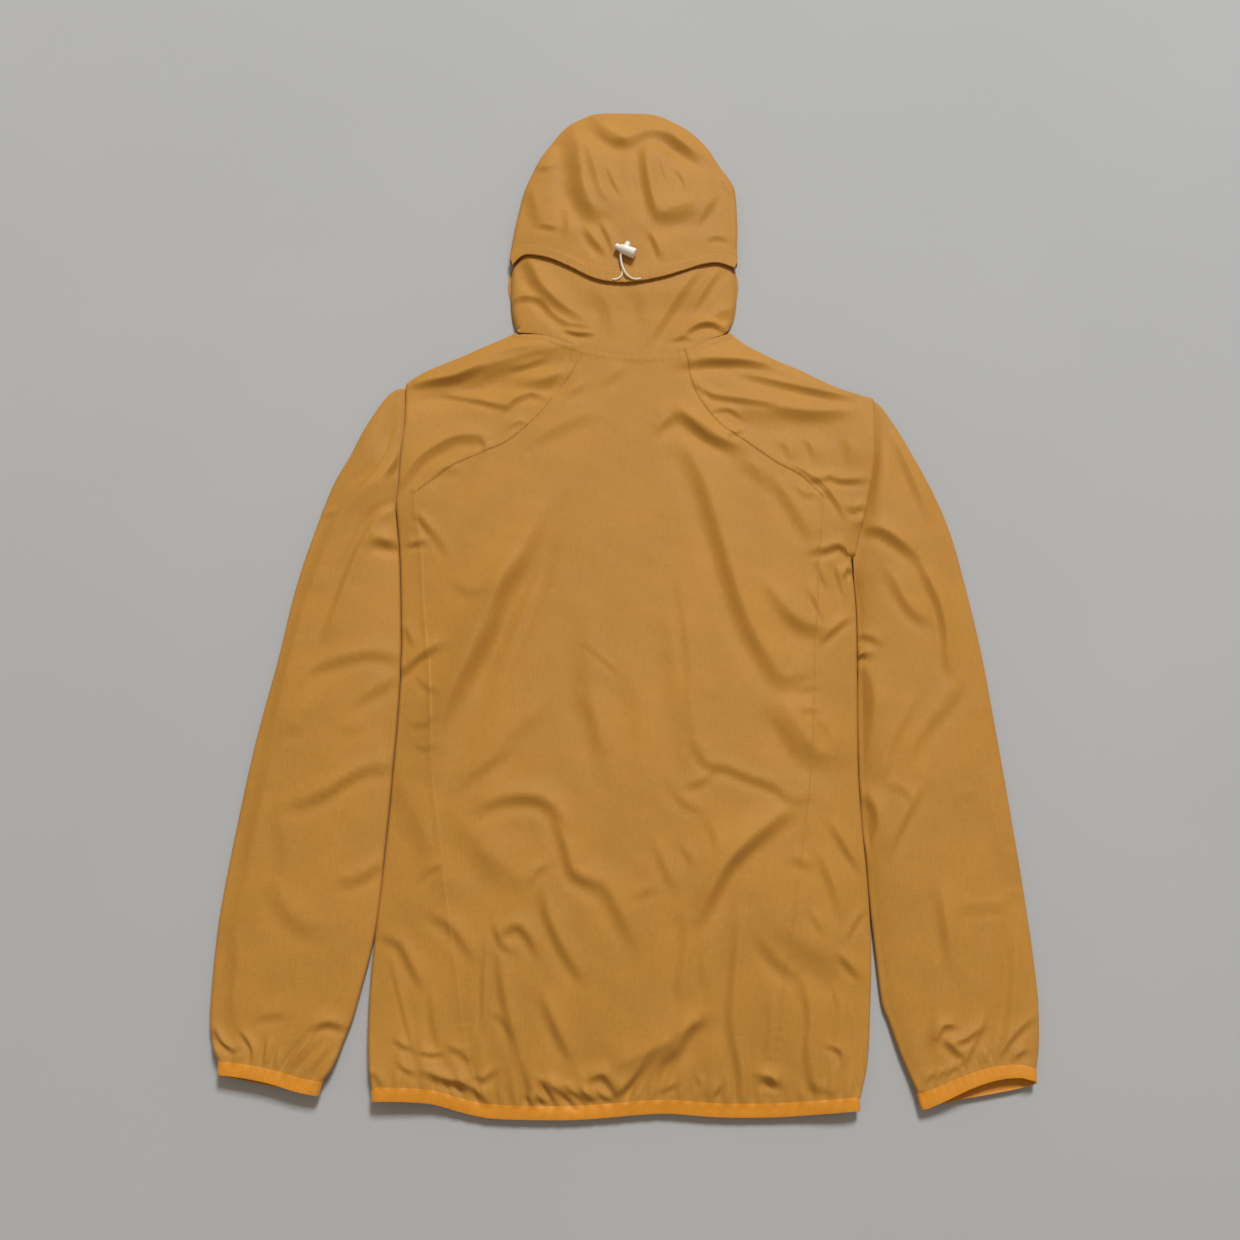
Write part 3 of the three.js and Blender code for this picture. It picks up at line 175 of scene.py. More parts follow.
# %% Body lines
BODY = np.array([
    # y, left edge, left seam, right seam, right edge, fill
    [-475, -201, -112.5, 118.5, 191.5, -1], [-440, -208.5, -125, 124, 201.5, 2.5],
    [-400, -211.2, -133.5, 130.3, 206.2, 5], [-350, -209.8, -141.5, 139.5, 209.8, 7],
    [-300, -206.2, -150.5, 147.5, 209.8, 8.5], [-250, -203.2, -158, 156, 207.8, 9],
    [-200, -200.8, -166, 163.5, 206.8, 9], [-150, -199, -168.5, 167.5, 208.7, 8.5],
    [-100, -198.5, -173, 171.5, 211, 8], [-50, -201, -180, 175.5, 212.6, 7.5],
    [0, -204.6, -184, 180, 210.8, 7], [60, -210.5, -192, 185, 210.8, 6.5],
    [215, -210.5, -192, 185, 210.8, 5],
])
left_edge, left_seam, right_seam, right_edge, body_fill = (
    column(BODY[:, 0], BODY[:, k]) for k in range(1, 6))

HEM = [(-205, -468.5), (-176, -469), (-154, -471), (-132, -477), (-110, -481.5), (-80, -483), (-37, -483),
       (-8, -481), (16, -479), (38, -478.3), (78, -481), (124, -481), (155, -479), (192, -476)]
hem_y = column(*zip(*HEM))
SHOULDER = [(-207, 173), (-182, 189), (-134, 213), (-103, 229), (-70, 262), (70, 262), (104, 231),
            (121, 216), (146, 201), (172, 189), (205, 170), (240, 158)]
shoulder_y = column(*zip(*SHOULDER))


def cloth_end(x):
    return hem_y(x) + BINDING + GAP


neck_seam = through((-103, 229), (-73, 223), (-41.4, 211.3), (-15, 205), (12, 201.7), (39, 202.7),
                    (60.5, 207.1), (77, 216), (104, 230))
NECK_CORNER = {"left": 0.292, "right": 0.773}   # share of the neck seam where a raglan seam ends
neck_left, neck_right = (tuple(neck_seam(np.array(NECK_CORNER[s]))) for s in ("left", "right"))
raglan = {
    "left": through((-192, 60.7), (-176, 74), (-158, 88), (-131, 101), (-106.6, 113.3), (-80.4, 138),
                    (-66, 158), (-46, 188), neck_left),
    "right": through((185, 59.5), (166.4, 78.5), (143.5, 91.2), (117.3, 111.1), (92.6, 129.4),
                     (74.5, 155.1), (66.3, 175.8), (63, 196), neck_right),
}
armpit = {
    "left": through((-205.8, 51.5), (-199, 55.3), (-192, 60.7)),
    "right": through((206.3, 2), (205, 14), (200.9, 32), (193, 47.5), (185, 59.5)),
}
CAP_START = {"left": 0.12, "right": 0.06}       # where on the armpit line a raglan top starts
shoulder_fold = {
    "left": through((-103, 229), (-134, 213), (-182, 189), (-206.7, 172.5)),
    "right": through((104, 230), (121, 216), (146, 201), (172, 189), (205, 170), (240, 158)),
}
arm_fold = {
    "left": through((-206.7, 172.5), (-205.4, 135), (-207.2, 112), (-208, 78), (-209.8, 52)),
    "right": through((240, 158), (237, 97), (227.5, 50), (220.5, 27), (214.8, 4)),
}
BODY_LOW = -471.0         # about the level where the cloth ends at the binding
PRINCESS_SHARE = 0.7      # share of the back's side that is princess seam, below the raglan seam


def princess(x_at, top):
    def curve(t):
        foot = cloth_end(x_at(BODY_LOW))
        y = mix(foot, top[1], np.asarray(t, float))
        return np.stack([mix(x_at(y), top[0], step(20, 60, y)), y], -1)
    return curve


princess_seam = {"left": princess(left_seam, (-192, 60.7)), "right": princess(right_seam, (185, 59.5))}
neck_line = neck_seam(np.linspace(0, 1, 200))
print("neck seam", round(float(neck_line[-1, 0] - neck_line[0, 0])), "mm across")

# %% [markdown]
# A crease is a soft step: a ridge on one side of a line and a trough on the other, fading at
# both ends. Each row holds ridge, trough, width and the line's points. About 240 such rows carry
# the way the cloth fell, and light from the hood's side then does the drawing.

# %% Crease tool
FALL = 1.6            # how deep the cloth fell, over the heights in the tables


def traced(rows):
    """The same rows, each with its points joined into one smooth path."""
    out = []
    for ridge, trough, width, *points in rows:
        path = through(*points, steps=40)(np.linspace(0, 1, 8 * len(points)))
        out.append((ridge, trough, width, path))
    return out


def beside(path, x, y):
    """Signed distance to the left of a line, the share along it, and how far past its ends."""
    best = np.full(x.shape, 1e9)
    side, at = np.zeros(x.shape), np.zeros(x.shape)
    for k in range(len(path) - 1):
        (ax, ay), (bx, by) = path[k], path[k + 1]
        dx, dy = bx - ax, by - ay
        length = math.hypot(dx, dy)
        t = np.clip(((x - ax) * dx + (y - ay) * dy) / length**2, 0, 1)
        gap = np.hypot(x - ax - t * dx, y - ay - t * dy)
        closer = gap < best
        best = np.where(closer, gap, best)
        side = np.where(closer, (dx * (y - ay) - dy * (x - ax)) / length, side)
        at = np.where(closer, (k + t) / (len(path) - 1), at)
    return side, at, np.sqrt(np.maximum(best**2 - side**2, 0))


def near_line(path, x, y, reach):
    """Which points lie in the line's box, widened by reach."""
    low, high = path.min(0) - reach, path.max(0) + reach
    return (x > low[0]) & (x < high[0]) & (y > low[1]) & (y < high[1])


def relief(rows, x, y):
    """The height that all the creases of a table add."""
    x, y = np.broadcast_arrays(np.asarray(x, float), np.asarray(y, float))
    height = np.zeros(x.shape)
    for ridge, trough, width, path in rows:
        near = near_line(path, x, y, 4 * width)
        if not near.any():
            continue
        side, at, past = beside(path, x[near], y[near])
        fade = np.sqrt(np.sin(np.pi * mix(0.03, 0.97, at))) * bell(past / width)
        away = side / width - 0.5
        blunt = np.sqrt(away**2 + 0.02) - 0.14
        within = np.square(1 - np.square(np.clip(away / 3.4, -1, 1)))
        crest = np.exp(-blunt / np.where(away > 0, 1.9, 0.8)) * within
        height[near] += FALL * fade * (ridge * crest - trough * bell((away + 1.3) / 0.9))
    return height


# %% Creases of the body's upper half
BODY_CREASES = traced([
    (1.6, 1.1, 6.5, (51, 144), (62, 133), (82, 115), (103, 106)),
    (1.8, 1.3, 10, (40, 139), (64, 131), (91, 111), (110, 102)),
    (1.6, 1.0, 6, (34, 121), (40, 128), (49, 138)),
    (1.6, 1.1, 8, (139, 72), (156, 45), (171, 15)),
    (0.9, 0.7, 4, (161, 67), (169, 58), (179, 58)),
    (1.0, 0.8, 9, (112, 91), (124, 80), (129, 69)),
    (1.8, 1.4, 4, (172, 2), (186, 4), (199, 8), (209, -1)),
    (1.6, 1.4, 3, (203, -21), (205, -16), (208, -11)),
    (0.9, 0.6, 4, (-190, 36), (-176, 22), (-160, -1)),
    (0.9, 0.6, 3, (-197, 10), (-188, 11), (-180, 12)),
    (1.8, 1.4, 9, (-165, -165), (-149, -133), (-126, -92), (-114, -64), (-108, -33), (-92, -9)),
    (1.2, 0.9, 6, (-109, -113), (-97, -87), (-87, -59), (-78, -33), (-68, 1)),
    (0.8, 0.5, 7, (-154, -27), (-139, -38), (-123, -36)),
    (2.6, 1.8, 5.5, (-199, -115), (-182, -98), (-162, -86)),
    (0.8, 0.6, 4, (-199, -63), (-193, -76), (-188, -85)),
    (0.7, 0.5, 4, (-182, -117), (-172, -126), (-162, -131)),
    (0.8, 0.6, 4, (-185, -158), (-173, -159), (-164, -150)),
    (0.6, 0.5, 4, (-182, -177), (-172, -180), (-162, -177)),
    (0.6, 0.5, 2.2, (-36, -85), (-19, -99), (-3, -114)),
    (0.9, 0.7, 9, (-115, -187), (-89, -165), (-67, -142)),
    (0.8, 0.6, 8, (-35, -136), (-26, -160), (-23, -187)),
    (3.3, 2.2, 10.5, (60, 96), (73, 64), (85, 19), (96, -24), (107, -61), (123, -95), (139, -119),
     (157, -118)),
    (1.4, 1.0, 8, (126, -28), (147, -56), (161, -69), (179, -73)),
    (1.0, 0.7, 3.5, (167, -32), (175, -48), (181, -65)),
    (1.6, 1.0, 4, (179, -83), (193, -70), (205, -61)),
    (1.2, 0.8, 4, (194, -9), (197, -24), (200, -37)),
    (1.0, 0.7, 4, (178, -6), (181, -19), (186, -32)),
    (0.9, 0.6, 6, (50, -27), (55, -69), (58, -105), (57, -140), (62, -170), (71, -188)),
    (0.8, 0.5, 3, (156, -148), (163, -146), (172, -147)),
    (0.7, 0.5, 3, (156, -128), (164, -127), (172, -126)),
    (1.2, 0.8, 10, (131, -152), (140, -165), (150, -186)),
    (1.0, 0.7, 8, (170, -152), (179, -165), (186, -182)),
])

# %% Creases of the body's lower left
BODY_CREASES += traced([
    (2.2, 1.4, 7, (-122, -234), (-103, -226), (-78, -225), (-62, -232), (-50, -248)),
    (2.0, 1.3, 6, (-59, -243), (-50, -266), (-43, -287), (-27, -297)),
    (1.8, 1.2, 8, (-39, -290), (-18, -300), (-7, -316), (7, -346)),
    (1.2, 0.9, 7, (-140, -215), (-120, -197), (-97, -183)),
    (1.2, 0.8, 3.5, (-76, -296), (-72, -286), (-64, -281)),
    (2.0, 1.4, 6, (-69, -302), (-63, -326), (-51, -350), (-35, -374)),
    (2.0, 1.4, 5, (-101, -337), (-89, -332), (-80, -339), (-73, -352)),
    (1.4, 1.0, 3.5, (-108, -330), (-102, -345), (-93, -351)),
    (1.6, 1.1, 5, (-201, -340), (-188, -346), (-179, -360), (-169, -378)),
    (1.4, 1.0, 6, (-161, -322), (-143, -334), (-125, -357)),
    (1.0, 0.7, 3, (-115, -343), (-116, -375), (-116, -412)),
    (1.8, 1.2, 5.5, (-105, -353), (-100, -385), (-91, -415), (-84, -440), (-77, -463)),
    (1.8, 1.3, 6, (-67, -389), (-56, -413), (-44, -436)),
    (0.9, 0.6, 4, (-159, -384), (-157, -410), (-152, -426)),
    (2.6, 1.8, 4.5, (-161, -447), (-145, -453), (-128, -457), (-112, -469)),
    (2.0, 1.4, 3.5, (-61, -454), (-48, -464), (-35, -473)),
    (2.2, 1.5, 4.5, (-27, -453), (-16, -450), (-7, -462)),
    (1.6, 1.2, 4, (-7, -465), (5, -457), (16, -442)),
    (1.0, 0.7, 3, (-187, -422), (-181, -426), (-174, -429)),
    (1.2, 0.8, 3, (-183, -439), (-178, -444), (-171, -448)),
    (1.0, 0.7, 3, (-166, -431), (-157, -433), (-148, -432)),
    (1.1, 0.8, 4, (-142, -427), (-134, -431), (-127, -437)),
    (1.2, 0.8, 12, (-124, -267), (-107, -282), (-86, -302)),
    (0.8, 0.6, 4, (-172, -294), (-164, -285), (-152, -281)),
    (1.0, 0.7, 3, (-207, -445), (-201, -450), (-196, -457)),
    (0.8, 0.5, 2, (-194, -359), (-184, -393), (-171, -433)),
    (1.0, 0.7, 4, (-106, -400), (-98, -408), (-93, -418)),
    (1.4, 1.0, 4, (-120, -450), (-113, -452), (-104, -445)),
])

# %% Creases of the body's lower right
BODY_CREASES += traced([
    (1.3, 1.0, 5, (61, -176), (72, -194), (89, -198), (108, -206), (130, -214), (146, -226), (159, -224)),
    (1.0, 0.7, 4.5, (54, -214), (68, -210), (79, -200)),
    (0.9, 0.6, 5, (43, -215), (53, -228), (67, -235)),
    (3.2, 2.4, 8, (68, -324), (79, -303), (93, -279), (115, -258), (144, -237)),
    (2.0, 1.4, 6, (96, -322), (92, -360), (88, -398), (90, -425), (98, -458)),
    (2.0, 1.4, 5, (149, -376), (153, -403), (150, -430), (153, -455), (167, -462)),
    (1.1, 0.8, 6, (49, -322), (51, -347), (46, -373), (48, -394)),
    (0.8, 0.5, 4, (68, -348), (66, -365), (67, -381)),
    (1.6, 1.1, 7, (115, -343), (128, -360), (144, -372)),
    (0.9, 0.6, 4, (159, -319), (162, -326), (167, -335)),
    (1.4, 0.9, 6, (166, -270), (175, -292), (183, -322)),
    (0.9, 0.6, 5, (142, -276), (151, -278), (161, -283)),
    (1.6, 1.1, 5, (179, -245), (191, -267), (201, -283)),
    (1.8, 1.2, 4, (180, -354), (187, -361), (196, -371)),
    (1.0, 0.7, 3, (189, -341), (196, -329), (205, -318)),
    (2.0, 1.4, 5.5, (44, -434), (54, -416), (67, -406)),
    (1.8, 1.3, 5, (-1, -462), (11, -450), (21, -432)),
    (1.4, 1.0, 7, (21, -456), (34, -440), (48, -430)),
    (1.2, 0.9, 4, (111, -455), (118, -454), (125, -457)),
    (0.9, 0.6, 4, (123, -389), (119, -418), (116, -441)),
    (0.8, 0.6, 3.5, (175, -380), (179, -398), (175, -418), (179, -436)),
    (1.0, 0.7, 5, (27, -264), (38, -290), (42, -299)),
    (0.9, 0.6, 4, (50, -264), (55, -272), (59, -280)),
    (0.8, 0.5, 5, (74, -243), (77, -255), (80, -267)),
    (0.7, 0.5, 4, (12, -306), (20, -303), (27, -301)),
])

# %% Broad folds of the body, and tight ones above the hem
BODY_CREASES += traced([
    (0.8, 0.6, 7, (-17, 170), (-6, 180), (3, 189)),
    (0.8, 0.6, 12, (-2, -110), (10, -150), (6, -205)),
    (4.2, 3.2, 17, (-160, -195), (-141, -128), (-117, -64), (-88, 5)),
    (2.2, 1.6, 12, (-110, -45), (-88, -7), (-67, 51)),
    (2.2, 1.6, 13, (134, -137), (147, -159), (162, -183), (187, -192)),
    (1.4, 1.0, 14, (129, -50), (155, -68), (186, -78)),
    (0.9, 0.7, 13, (-38, -64), (-33, -137), (-6, -225)),
    (1.4, 1.1, 12, (69, -321), (91, -284), (139, -252)),
    (1.6, 1.3, 16, (124, -332), (150, -352), (184, -370)),
    (1.0, 0.7, 12, (38, -64), (46, -137), (60, -208)),
    (2.4, 1.8, 11, (-6, -448), (22, -435), (43, -425), (65, -405)),
    (1.2, 0.9, 8, (-63, -463), (-42, -459), (-18, -467)),
    (1.1, 0.9, 14, (-148, -242), (-121, -276), (-103, -309)),
    (0.9, 0.7, 12, (-210, -190), (-173, -259), (-158, -301)),
    (2.4, 1.8, 3.5, (-68, -452), (-62, -459), (-56, -469)),
    (2.4, 1.8, 3.3, (-45, -459), (-38, -464), (-31, -470)),
    (2.0, 1.5, 3, (-34, -461), (-28, -465), (-22, -469)),
    (2.0, 1.5, 3, (-18, -463), (-14, -466), (-9, -469)),
    (1.7, 1.2, 3, (-78, -465), (-76, -467), (-75, -471)),
    (1.9, 1.4, 3, (-69, -465), (-65, -468), (-60, -471)),
    (1.2, 0.9, 3, (32, -463), (37, -459), (42, -456)),
    (1.1, 0.8, 3, (61, -450), (63, -456), (61, -464)),
    (1.2, 0.9, 3, (75, -464), (79, -460), (81, -454)),
    (2.0, 1.4, 4, (111, -450), (119, -451), (128, -457)),
    (1.2, 0.9, 3, (169, -426), (179, -432), (177, -442)),
])

# %% Creases of the raglan tops
CAP_CREASES = traced([
    (1.6, 1.0, 5, (-200, 169), (-177, 173), (-157, 177), (-137, 188)),
    (4.0, 3.4, 13, (-198, 163), (-154, 175), (-109, 191), (-57, 205)),
    (1.8, 1.4, 9, (-101, 170), (-78, 170), (-53, 181)),
    (1.6, 1.4, 14, (97, 146), (139, 140), (186, 136), (216, 137)),
    (1.0, 0.8, 8, (50, 191), (93, 195), (141, 187), (197, 162)),
    (1.2, 0.8, 7, (-144, 184), (-128, 197), (-107, 205), (-87, 207), (-68, 212)),
    (1.4, 1.0, 9, (-115, 174), (-94, 175), (-72, 175), (-51, 185)),
    (1.6, 0.8, 4, (-167, 160), (-143, 155), (-122, 149), (-109, 146)),
    (1.8, 1.0, 5, (-112, 141), (-102, 153), (-87, 160), (-72, 156)),
    (2.2, 1.4, 7, (-206, 63), (-188, 91), (-170, 106), (-154, 114), (-130, 114)),
    (1.0, 0.7, 3, (-133, 114), (-129, 106), (-135, 100)),
    (0.9, 0.6, 3.5, (-105, 124), (-98, 131), (-93, 129)),
    (1.0, 0.7, 9, (-85, 106), (-62, 122), (-29, 137)),
    (0.8, 0.6, 6, (-56, 158), (-44, 164), (-34, 171)),
    (0.9, 0.6, 4, (-106, 187), (-92, 190), (-75, 197)),
    (0.8, 0.6, 3, (-189, 37), (-183, 31), (-177, 20)),
    (0.8, 0.6, 3.5, (-197, 9), (-189, 10), (-180, 13)),
    (0.8, 0.6, 6, (-176, 76), (-164, 83), (-153, 81)),
    (2.2, 1.4, 6, (60, 190), (86, 194), (115, 194), (139, 192)),
    (2.2, 1.2, 6, (107, 184), (142, 174), (178, 165), (216, 157)),
    (1.4, 0.9, 4, (69, 170), (85, 159), (108, 154), (142, 149)),
    (1.2, 0.8, 8, (141, 146), (172, 140), (216, 142)),
    (0.9, 0.6, 3, (86, 142), (100, 144), (113, 136)),
    (0.8, 0.6, 3, (99, 117), (108, 120), (114, 122)),
    (0.8, 0.6, 5, (147, 110), (153, 106), (155, 96)),
    (0.9, 0.6, 5, (171, 115), (176, 107), (178, 96)),
    (0.8, 0.6, 7, (209, 115), (211, 102), (209, 91)),
    (1.4, 1.0, 4, (192, 76), (204, 72), (225, 72)),
    (1.2, 0.7, 4, (162, 86), (183, 71), (195, 55), (205, 36)),
    (1.6, 1.2, 4, (208, 45), (214, 43), (224, 46)),
    (1.2, 0.9, 3.5, (216, 26), (219, 30), (224, 35)),
    (1.0, 0.7, 4, (174, 72), (189, 74), (197, 80)),
])
print(len(BODY_CREASES) + len(CAP_CREASES), "creases on body and raglan tops")

# %% [markdown]
# The elastic hem is shorter than the cloth it holds, so the cloth stands in small gathers above
# it, each with its own place, lean, length and depth.

# %% Gathers above the hem
GATHERS = [
    # x at the hem, lean, length, depth, width
    (-196, 2, 26, 0.9, 4.0), (-184, 4, 40, 1.1, 4.5), (-172, -3, 24, 0.8, 3.6), (-160, -6, 48, 1.3, 4.5),
    (-148, -10, 30, 1.4, 4.2), (-136, -12, 22, 1.2, 3.8), (-124, -14, 32, 1.5, 4.4), (-110, -9, 60, 1.2, 4.6),
    (-98, -6, 34, 0.9, 4.0), (-86, -8, 78, 1.3, 4.6), (-73, 2, 40, 1.0, 4.2), (-62, -12, 26, 1.3, 3.8),
    (-50, -14, 34, 1.4, 4.2), (-38, -12, 24, 1.5, 4.0), (-26, -10, 30, 1.3, 4.4), (-14, -9, 22, 1.4, 4.0),
    (-3, 6, 46, 1.5, 4.8), (9, 12, 36, 1.2, 4.4), (22, 14, 58, 1.4, 4.8), (36, 6, 30, 1.1, 4.2),
    (48, 2, 66, 1.1, 4.6), (60, -2, 30, 0.9, 4.0), (72, 3, 50, 1.2, 4.4), (85, -3, 84, 1.2, 4.8),
    (99, -5, 60, 1.4, 4.6), (112, 2, 28, 0.9, 4.0), (124, 3, 44, 1.0, 4.2), (136, -2, 30, 0.9, 4.0),
    (147, -3, 58, 1.2, 4.4), (159, -4, 70, 1.2, 4.4), (171, 1, 40, 1.1, 4.2), (183, 3, 30, 0.9, 4.0),
]


def gathered(x, y):
    """Each gather starts just above the band, widens upwards and dies away."""
    above = y - cloth_end(x)
    height = np.zeros(np.broadcast(x, y).shape)
    for at, lean, length, depth, width in GATHERS:
        up = np.clip(above / length, -0.3, 2.5)
        middle = at + lean * np.clip(up, 0, 1.4)
        wide = width * (1 + 0.5 * np.clip(up, 0, 1.4))
        fade = np.exp(-np.square(np.clip(up, 0, None)) * 1.6) * mix(0.15, 1, between(-2, 6, above))
        profile = bell((x - middle) / wide) - 0.8 * bell((x - middle - 1.5 * wide) / wide)
        height += 1.8 * depth * fade * profile
    return height


def mottled(x, y, amount=0.16):
    """Low uneven waves, so that no part of the cloth is quite flat."""
    wave = np.sin(x / 13 + 1.7 * np.sin(y / 31)) * np.sin(y / 17 + 1.3 * np.sin(x / 27))
    wave = wave + 0.7 * np.sin(x / 7.3 + y / 9.1 + 1.5 * np.sin(x / 23)) * np.sin(y / 8.7 - x / 19)
    return amount * wave


# %% Lifted corners and lines of the arms
def floor_lift(x, y):
    """How far the hem's two corners stand off the floor."""
    left = 5.5 * step(-115, -190, x) * step(-400, -470, y)
    right = 3.5 * step(125, 185, x) * step(-410, -472, y)
    return left + right


def arm_fold_left_x(y):
    return mix(-208.5, -205.8, step(60, 130, y))


def arm_fold_right_x(y):
    return mix(213.5, 239, between(-5, 130, y) ** 0.8)


# %% Seams in relief
SEAMS = [
    # line, height of the folded allowance, its side, dip, standing ridge
    (raglan["left"](np.linspace(0, 1, 60)), 0.5, 1, 0.2, 0.3),
    (raglan["right"](np.linspace(0, 1, 60)), 0.5, -1, 0.2, 0.3),
    (neck_line[::4], 0.5, -1, 0.25, 0),
    (princess_seam["left"](np.linspace(0, 1, 120)), 0, 1, 0, 0.6),
    (princess_seam["right"](np.linspace(0, 1, 120)), 0, 1, 0, 0.6),
]


def seam_relief(x, y):
    """Folded allowances under the raglan and neck seams, and thin standing princess seams."""
    x, y = np.broadcast_arrays(np.asarray(x, float), np.asarray(y, float))
    height = np.zeros(x.shape)
    for line, allowance, open_side, dip, ridge in SEAMS:
        near = near_line(line, x, y, 14)
        if not near.any():
            continue
        side, at, past = beside(line, x[near], y[near])
        side = side * open_side
        along = at * np.linalg.norm(np.diff(line, axis=0), axis=1).sum()
        band = allowance * step(7.2, 5.0, side) * step(-0.3, 0.5, side)
        stand = ridge * bell(side / np.where(side > 0, 3.0, 0.9))
        pucker = 0.1 * np.sin(2 * np.pi * along / 7.3 + 1.6 * np.sin(along / 17)) * bell(side / 6)
        fold_in = dip * bell(side / np.where(side > 0, 1.0, 2.4))
        height[near] += (band + stand + pucker - fold_in) * bell(past / 3)
    return height


# %% Top of the body
SIDE_SLOPE, SHOULDER_SLOPE = 95, 70   # how far in from the edges the cloth still rises
OVER_ARM = 5.6                        # how far the top stands up where it lies over a sleeve


def body_top(x, y):
    """Outer surface of the upper layer of the body."""
    sides = ramp_in(x - left_edge(y), SIDE_SLOPE) * ramp_in(right_edge(y) - x, SIDE_SLOPE)
    on_shoulder = ramp_in(shoulder_y(x) - y, SHOULDER_SLOPE)
    arm_left = bell((x - arm_fold_left_x(y)) / 34) * step(0, 60, y)
    arm_right = bell((arm_fold_right_x(y) - x) / 36) * step(-14, 40, y)
    from_shoulder = between(0, 40, shoulder_y(x) - y)
    over_arms = OVER_ARM * np.maximum(arm_left, arm_right) * mix(0.35, 1, from_shoulder)
    fill = body_fill(y) * mix(sides, np.maximum(sides, 0.35), step(60, 120, y)) * on_shoulder
    creases = relief(BODY_CREASES, x, y) + relief(CAP_CREASES, x, y)
    folded_top = floor_lift(x, y) + EDGE + fill + over_arms + creases + gathered(x, y)
    return folded_top + mottled(x, y) + seam_relief(x, y)


# %% [markdown]
# Each piece becomes a mesh from a grid of points. A Solidify modifier gives the grid the
# cloth's thickness, so its cut edges show at the seams, and an Edge Split keeps them crisp. The
# flat size of each piece is worked out from this grid and printed: its longest row, its longest
# column and the area of its faces.

# %% From grid to cloth
def spans(grid):
    """The longest row and the longest column of a grid."""
    across = np.linalg.norm(np.diff(grid, axis=1), axis=2)
    along = np.linalg.norm(np.diff(grid, axis=0), axis=2)
    return across.sum(1).max(), along.sum(0).max()


def add_object(name, data):
    obj = bpy.data.objects.new(name, data)
    bpy.context.scene.collection.objects.link(obj)
    return obj


def smooth_mesh(name, points, faces):
    mesh = bpy.data.meshes.new(name)
    mesh.from_pydata(metres(points).tolist(), [], faces)
    mesh.polygons.foreach_set("use_smooth", [True] * len(mesh.polygons))
    mesh.update()
    return add_object(name, mesh)


def build_mesh(name, grid, closed, flip):
    rows, cols = grid.shape[:2]
    r = np.arange(rows - 1)[:, None]
    c = np.arange(cols if closed else cols - 1)[None, :]
    nxt = (c + 1) % cols
    this_row, next_row = r * cols, (r + 1) * cols
    faces = np.stack([this_row + c, this_row + nxt, next_row + nxt, next_row + c], -1).reshape(-1, 4)
    if flip:
        faces = faces[:, ::-1]
    return smooth_mesh(name, grid.reshape(-1, 3), faces.tolist())


def cloth(name, node, grid, closed=False, flip=False, thick=CLOTH):
    obj = build_mesh(name, grid, closed, flip)
    wall = obj.modifiers.new("wall", "SOLIDIFY")
    wall.thickness, wall.offset = thick / 1000.0, -1
    crisp = obj.modifiers.new("cut edges", "EDGE_SPLIT")
    crisp.split_angle = math.radians(60)
    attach(obj, "root")
    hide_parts(node)
    ring = np.concatenate([grid, grid[:, :1]], axis=1) if closed else grid
    width, length = (size / 1000.0 for size in spans(ring))
    area = sum(p.area for p in obj.data.polygons)
    min(area, 0.999 * width * length)
    print(f"{name}: {len(obj.data.polygons)} faces, cut {width:.3f} x {length:.3f} m, {area:.4f} m2")
    return obj


def samples(*parts):
    """Positions in 0..1: each (end, count) adds count steps up to end."""
    out, start = [0.0], 0.0
    for end, count in parts:
        out.extend(np.linspace(start, end, count + 1)[1:])
        start = end
    return np.array(out)


def from_seam(end, count, width):
    """Positions up to end, closer together beside the seam at 0."""
    close = np.array([0, 0.6, 1.2, 2.0, 3.0, 4.3, 6.0]) / width
    return np.concatenate([close, np.linspace(close[-1], end, count + 1)[1:]])


# %% [markdown]
# ## Back panel
# The back is one wide piece between the two princess seams, with raglan seams above them.

# %% Back panel
def hem_line(start, end):
    def curve(t):
        x = mix(start, end, np.asarray(t, float))
        return np.stack([x, cloth_end(x)], -1)
    return curve


def back_panel():
    west = shifted(joined(PRINCESS_SHARE, princess_seam["left"], raglan["left"]), -GAP / 2)
    east = shifted(joined(PRINCESS_SHARE, princess_seam["right"], raglan["right"]), GAP / 2)
    north = shifted(stretch(neck_seam, NECK_CORNER["left"], NECK_CORNER["right"]), -GAP / 2)
    plan = patch(west, east, hem_line(west(0)[0], east(0)[0]), north)
    half = from_seam(0.5, 69, 360)
    u = np.concatenate([half, 1 - half[-2::-1]])[None, :]
    below = samples((0.09, 42), (PRINCESS_SHARE, 140), (0.97, 54))[:-1]
    v = np.concatenate([below, 1 - from_seam(0.03, 5, 620)[::-1]])[:, None]
    xy = plan(u, v)
    x, y = xy[..., 0], xy[..., 1]
    return np.stack([x, y, body_top(x, y)], -1)


back = cloth("back", "back_panel", back_panel())

# %% [markdown]
# ## Side bodies and raglan tops
# These pieces don't end at the outline: they fold over it, run down and turn under. The same
# helper folds both, so that the outline is a soft edge of doubled cloth.

